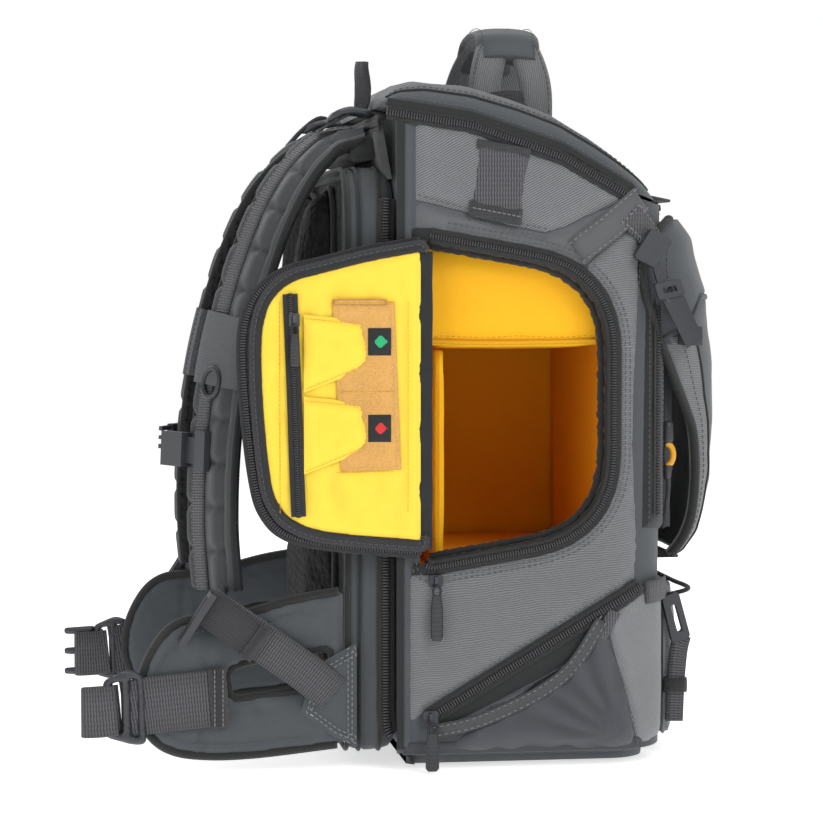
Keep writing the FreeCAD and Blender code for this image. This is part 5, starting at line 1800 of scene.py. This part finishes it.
# %% Straps and buckles beside the flap
def flap_straps(side, turn, body):
    surface = near if turn > 0 else far
    band = [Vector((54, 386)), Vector((78, 404)), Vector((102, 425))]
    on, up = laid(surface, spaced(band, 4), 3.4)
    strap("front_band_" + side, on, up, 21, 1.8, SMOOTH, smooth=False,
          replaces=["upper_straps"] if turn > 0 else [])
    for shift in (-8.4, 8.4):
        on, up = laid(surface, spaced([p + Vector((-0.62, 0.78)) * shift for p in band], 4), 4.4)
        sew(on, up, PALE_THREAD, pitch=5.0)
    tab = densify([(85, 408), (99, 424), (119, 402), (106, 388)], 3.0)
    panel("buckle_tab_" + side, tab, surface, WEBBING, spacing=3, puff=0.8, lift=5.0, tuck=1.5, wave=0.2)
    on, up = laid(surface, inset_loop(tab, 2.2), 6.6)
    sew(on, up, PALE_THREAD, closed=True)
    link = [(124, -160.5 * turn, 358), (132, -152 * turn, 350), (138, -136 * turn, 344),
            (146, -119 * turn, 339)]
    strap("buckle_web_" + side, link, Vector((0.7, -0.7 * turn, 0.1)), 18, 1.8, WEBBING, "flap")
    patch = densify([(-20, 467), (18, 460), (12, 407), (-26, 415)], 4.0)
    panel("side_web_patch_" + side, patch, surface, WEBBING, spacing=4, puff=0.6, lift=4.6, tuck=1.8,
          wave=0.3,
          replaces=["side_webbing"] if turn > 0 else [])
    fold = densify([(-27, 424), (13, 417), (11.5, 405), (-28, 412)], 3.0)
    panel("side_web_fold_" + side, fold, surface, DARK_WEBBING, spacing=3, puff=1.0, lift=6.0, tuck=1.8,
          wave=0.2)
    fold = densify([(-21, 469), (19, 462), (18, 455), (-22, 462)], 3.0)
    panel("side_web_head_" + side, fold, surface, DARK_WEBBING, spacing=3, puff=0.8, lift=5.6, tuck=1.6,
          wave=0.2)
    line = [Vector((-24, 418)), Vector((9, 412))]
    on, up = laid(surface, spaced(line, 4), 8.0)
    sew(on, up, PALE_THREAD, pitch=3.6)
    on, up = laid(surface, [(s, 129 + 0.05 * (s - 90)) for s in range(108, 142, 4)], 4.0)
    strap("lower_web_" + side, on, up, 17, 1.8, WEBBING, smooth=False,
          replaces=["lower_straps"] if turn > 0 else [])
    tail = [(146, -117.5 * turn, 92), (143, -118.5 * turn, 80), (141, -118 * turn, 56),
            (140, -117 * turn, 26)]
    strap("lower_tail_" + side, tail, Vector((0, -turn, 0.05)), 14, 4.2, WEBBING)
    keeper = [(x, (-117.8 + 3.4 * s) * turn, 54) for x, s in ((132, -0.6), (134, -1), (147, -1),
                                                              (149, -0.6),
                                                              (149, 0.6), (147, 1), (134, 1), (132, 0.6))]
    strap("lower_keeper_" + side, keeper, UP, 1.4, 11, BINDING, closed=True)


both_sides(flap_straps)

# %% [markdown]
# ## Base, moulded parts and zip pulls
# Buckles, rings and sliders keep the shapes that the frame gives them, because they are rigid mouldings,
# and take a plastic or enamel finish. Zip pulls are ribbed rubber over a wire loop, made again with real
# ribs.

# %% Base and carried-over mouldings
block("base_cloth", (-66, -128, 0.3), (96, 128, 8), 3, BLACK, puff=0.0, wave=0.2, replaces=["base_panel"])


def finish_node(name, material):
    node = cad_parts[name]
    for slot in node.material_slots:
        slot.material = material
    if not node.material_slots:
        node.data.materials.append(material)


MOULDED = {"door_zip_slider": ENAMEL, "pocket_zip_slider": COIL, "bottom_zip_slider": ENAMEL,
           "laptop_zip_slider": ENAMEL, "lid_zip_slider": ENAMEL, "front_zip_slider": ENAMEL,
           "flap_buckle_sockets": PLASTIC, "flap_buckle_plugs": PLASTIC, "lower_buckles": PLASTIC,
           "chest_socket": PLASTIC, "chest_plug": PLASTIC}
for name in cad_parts:
    if name in MOULDED:
        finish_node(name, MOULDED[name])
    elif name.startswith(("strap_ring", "ladder_lock")):
        finish_node(name, PLASTIC)


# %% Ribbed pulls
def ribbed_pull(node, body):
    low, high = node_box(node)
    size = high - low
    wide = max(size.x, size.y)
    thick = min(size.x, size.y)
    middle = (low + high) / 2
    top, foot = Vector((middle.x, middle.y, high.z - 7)), Vector((middle.x, middle.y, low.z))
    rows = [top.lerp(foot, t / 40) for t in range(41)]
    across_y = size.y > size.x

    def ribs(i, a, b):
        t = i / 40
        swell = (0.72 + 0.28 * min(1, t * 3)) * (1 if t < 0.93 else 1 - (t - 0.93) * 5)
        rib = 1 + 0.16 * math.cos(i * 2 * math.pi / 4) * (0.12 < t < 0.92)
        return a * swell, b * swell * rib
    section = flat_section(wide, thick + 0.6, 1.2)
    out = AHEAD if across_y else LEFT
    verts, faces, uvs = sweep(rows, out, section, shape=ribs)
    build(node + "_grip", verts, faces, PLASTIC, body, uvs, [node])
    side = RIGHT if across_y else AHEAD
    loop = [top + side * (wide * 0.24) + Vector((0, 0, -2)), top + side * (wide * 0.3) + Vector((0, 0, 4)),
            top + Vector((0, 0, 7)), top - side * (wide * 0.3) + Vector((0, 0, 4)),
            top - side * (wide * 0.24) + Vector((0, 0, -2))]
    piping(node + "_loop", loop, 0.9, ENAMEL, body, normals=out, step=1.2)


for name in ("door", "pocket", "bottom", "lid", "front"):
    ribbed_pull(name + "_zip_pull", name + "_pull")

# %% Floor
FLOOR = bpy.data.materials.new("pale_floor")
FLOOR.use_nodes = True
for label, value in (("Base Color", (0.93, 0.93, 0.93, 1)), ("Roughness", 0.9),
                     ("Emission Color", (1, 1, 1, 1)), ("Emission Strength", 0.62)):
    FLOOR.node_tree.nodes["Principled BSDF"].inputs[label].default_value = value
floor_mesh = bpy.data.meshes.new("floor")
FLOOR_SPAN, FLOOR_Z = 9, -0.0005
floor_corners = [(x * FLOOR_SPAN, y * FLOOR_SPAN, FLOOR_Z) for x, y in ((-1, -1), (1, -1), (1, 1), (-1, 1))]
floor_mesh.from_pydata(floor_corners, [], [(0, 1, 2, 3)])
floor_mesh.materials.append(FLOOR)
floor = bpy.data.objects.new("floor", floor_mesh)
bpy.context.scene.collection.objects.link(floor)

# %% [markdown]
# ## Stitches and the end
# Every row of stitches on one body becomes one mesh, so that the object has few pieces.

# %% Sew everything and finish
BY_NAME = {m.name: m for m in SLOTS}
for number, ((body, thread), (verts, faces)) in enumerate(sorted(threads.items())):
    build("stitches_%s_%d" % (body, number), verts, faces, BY_NAME[thread], body)
print(len(made), "pieces")
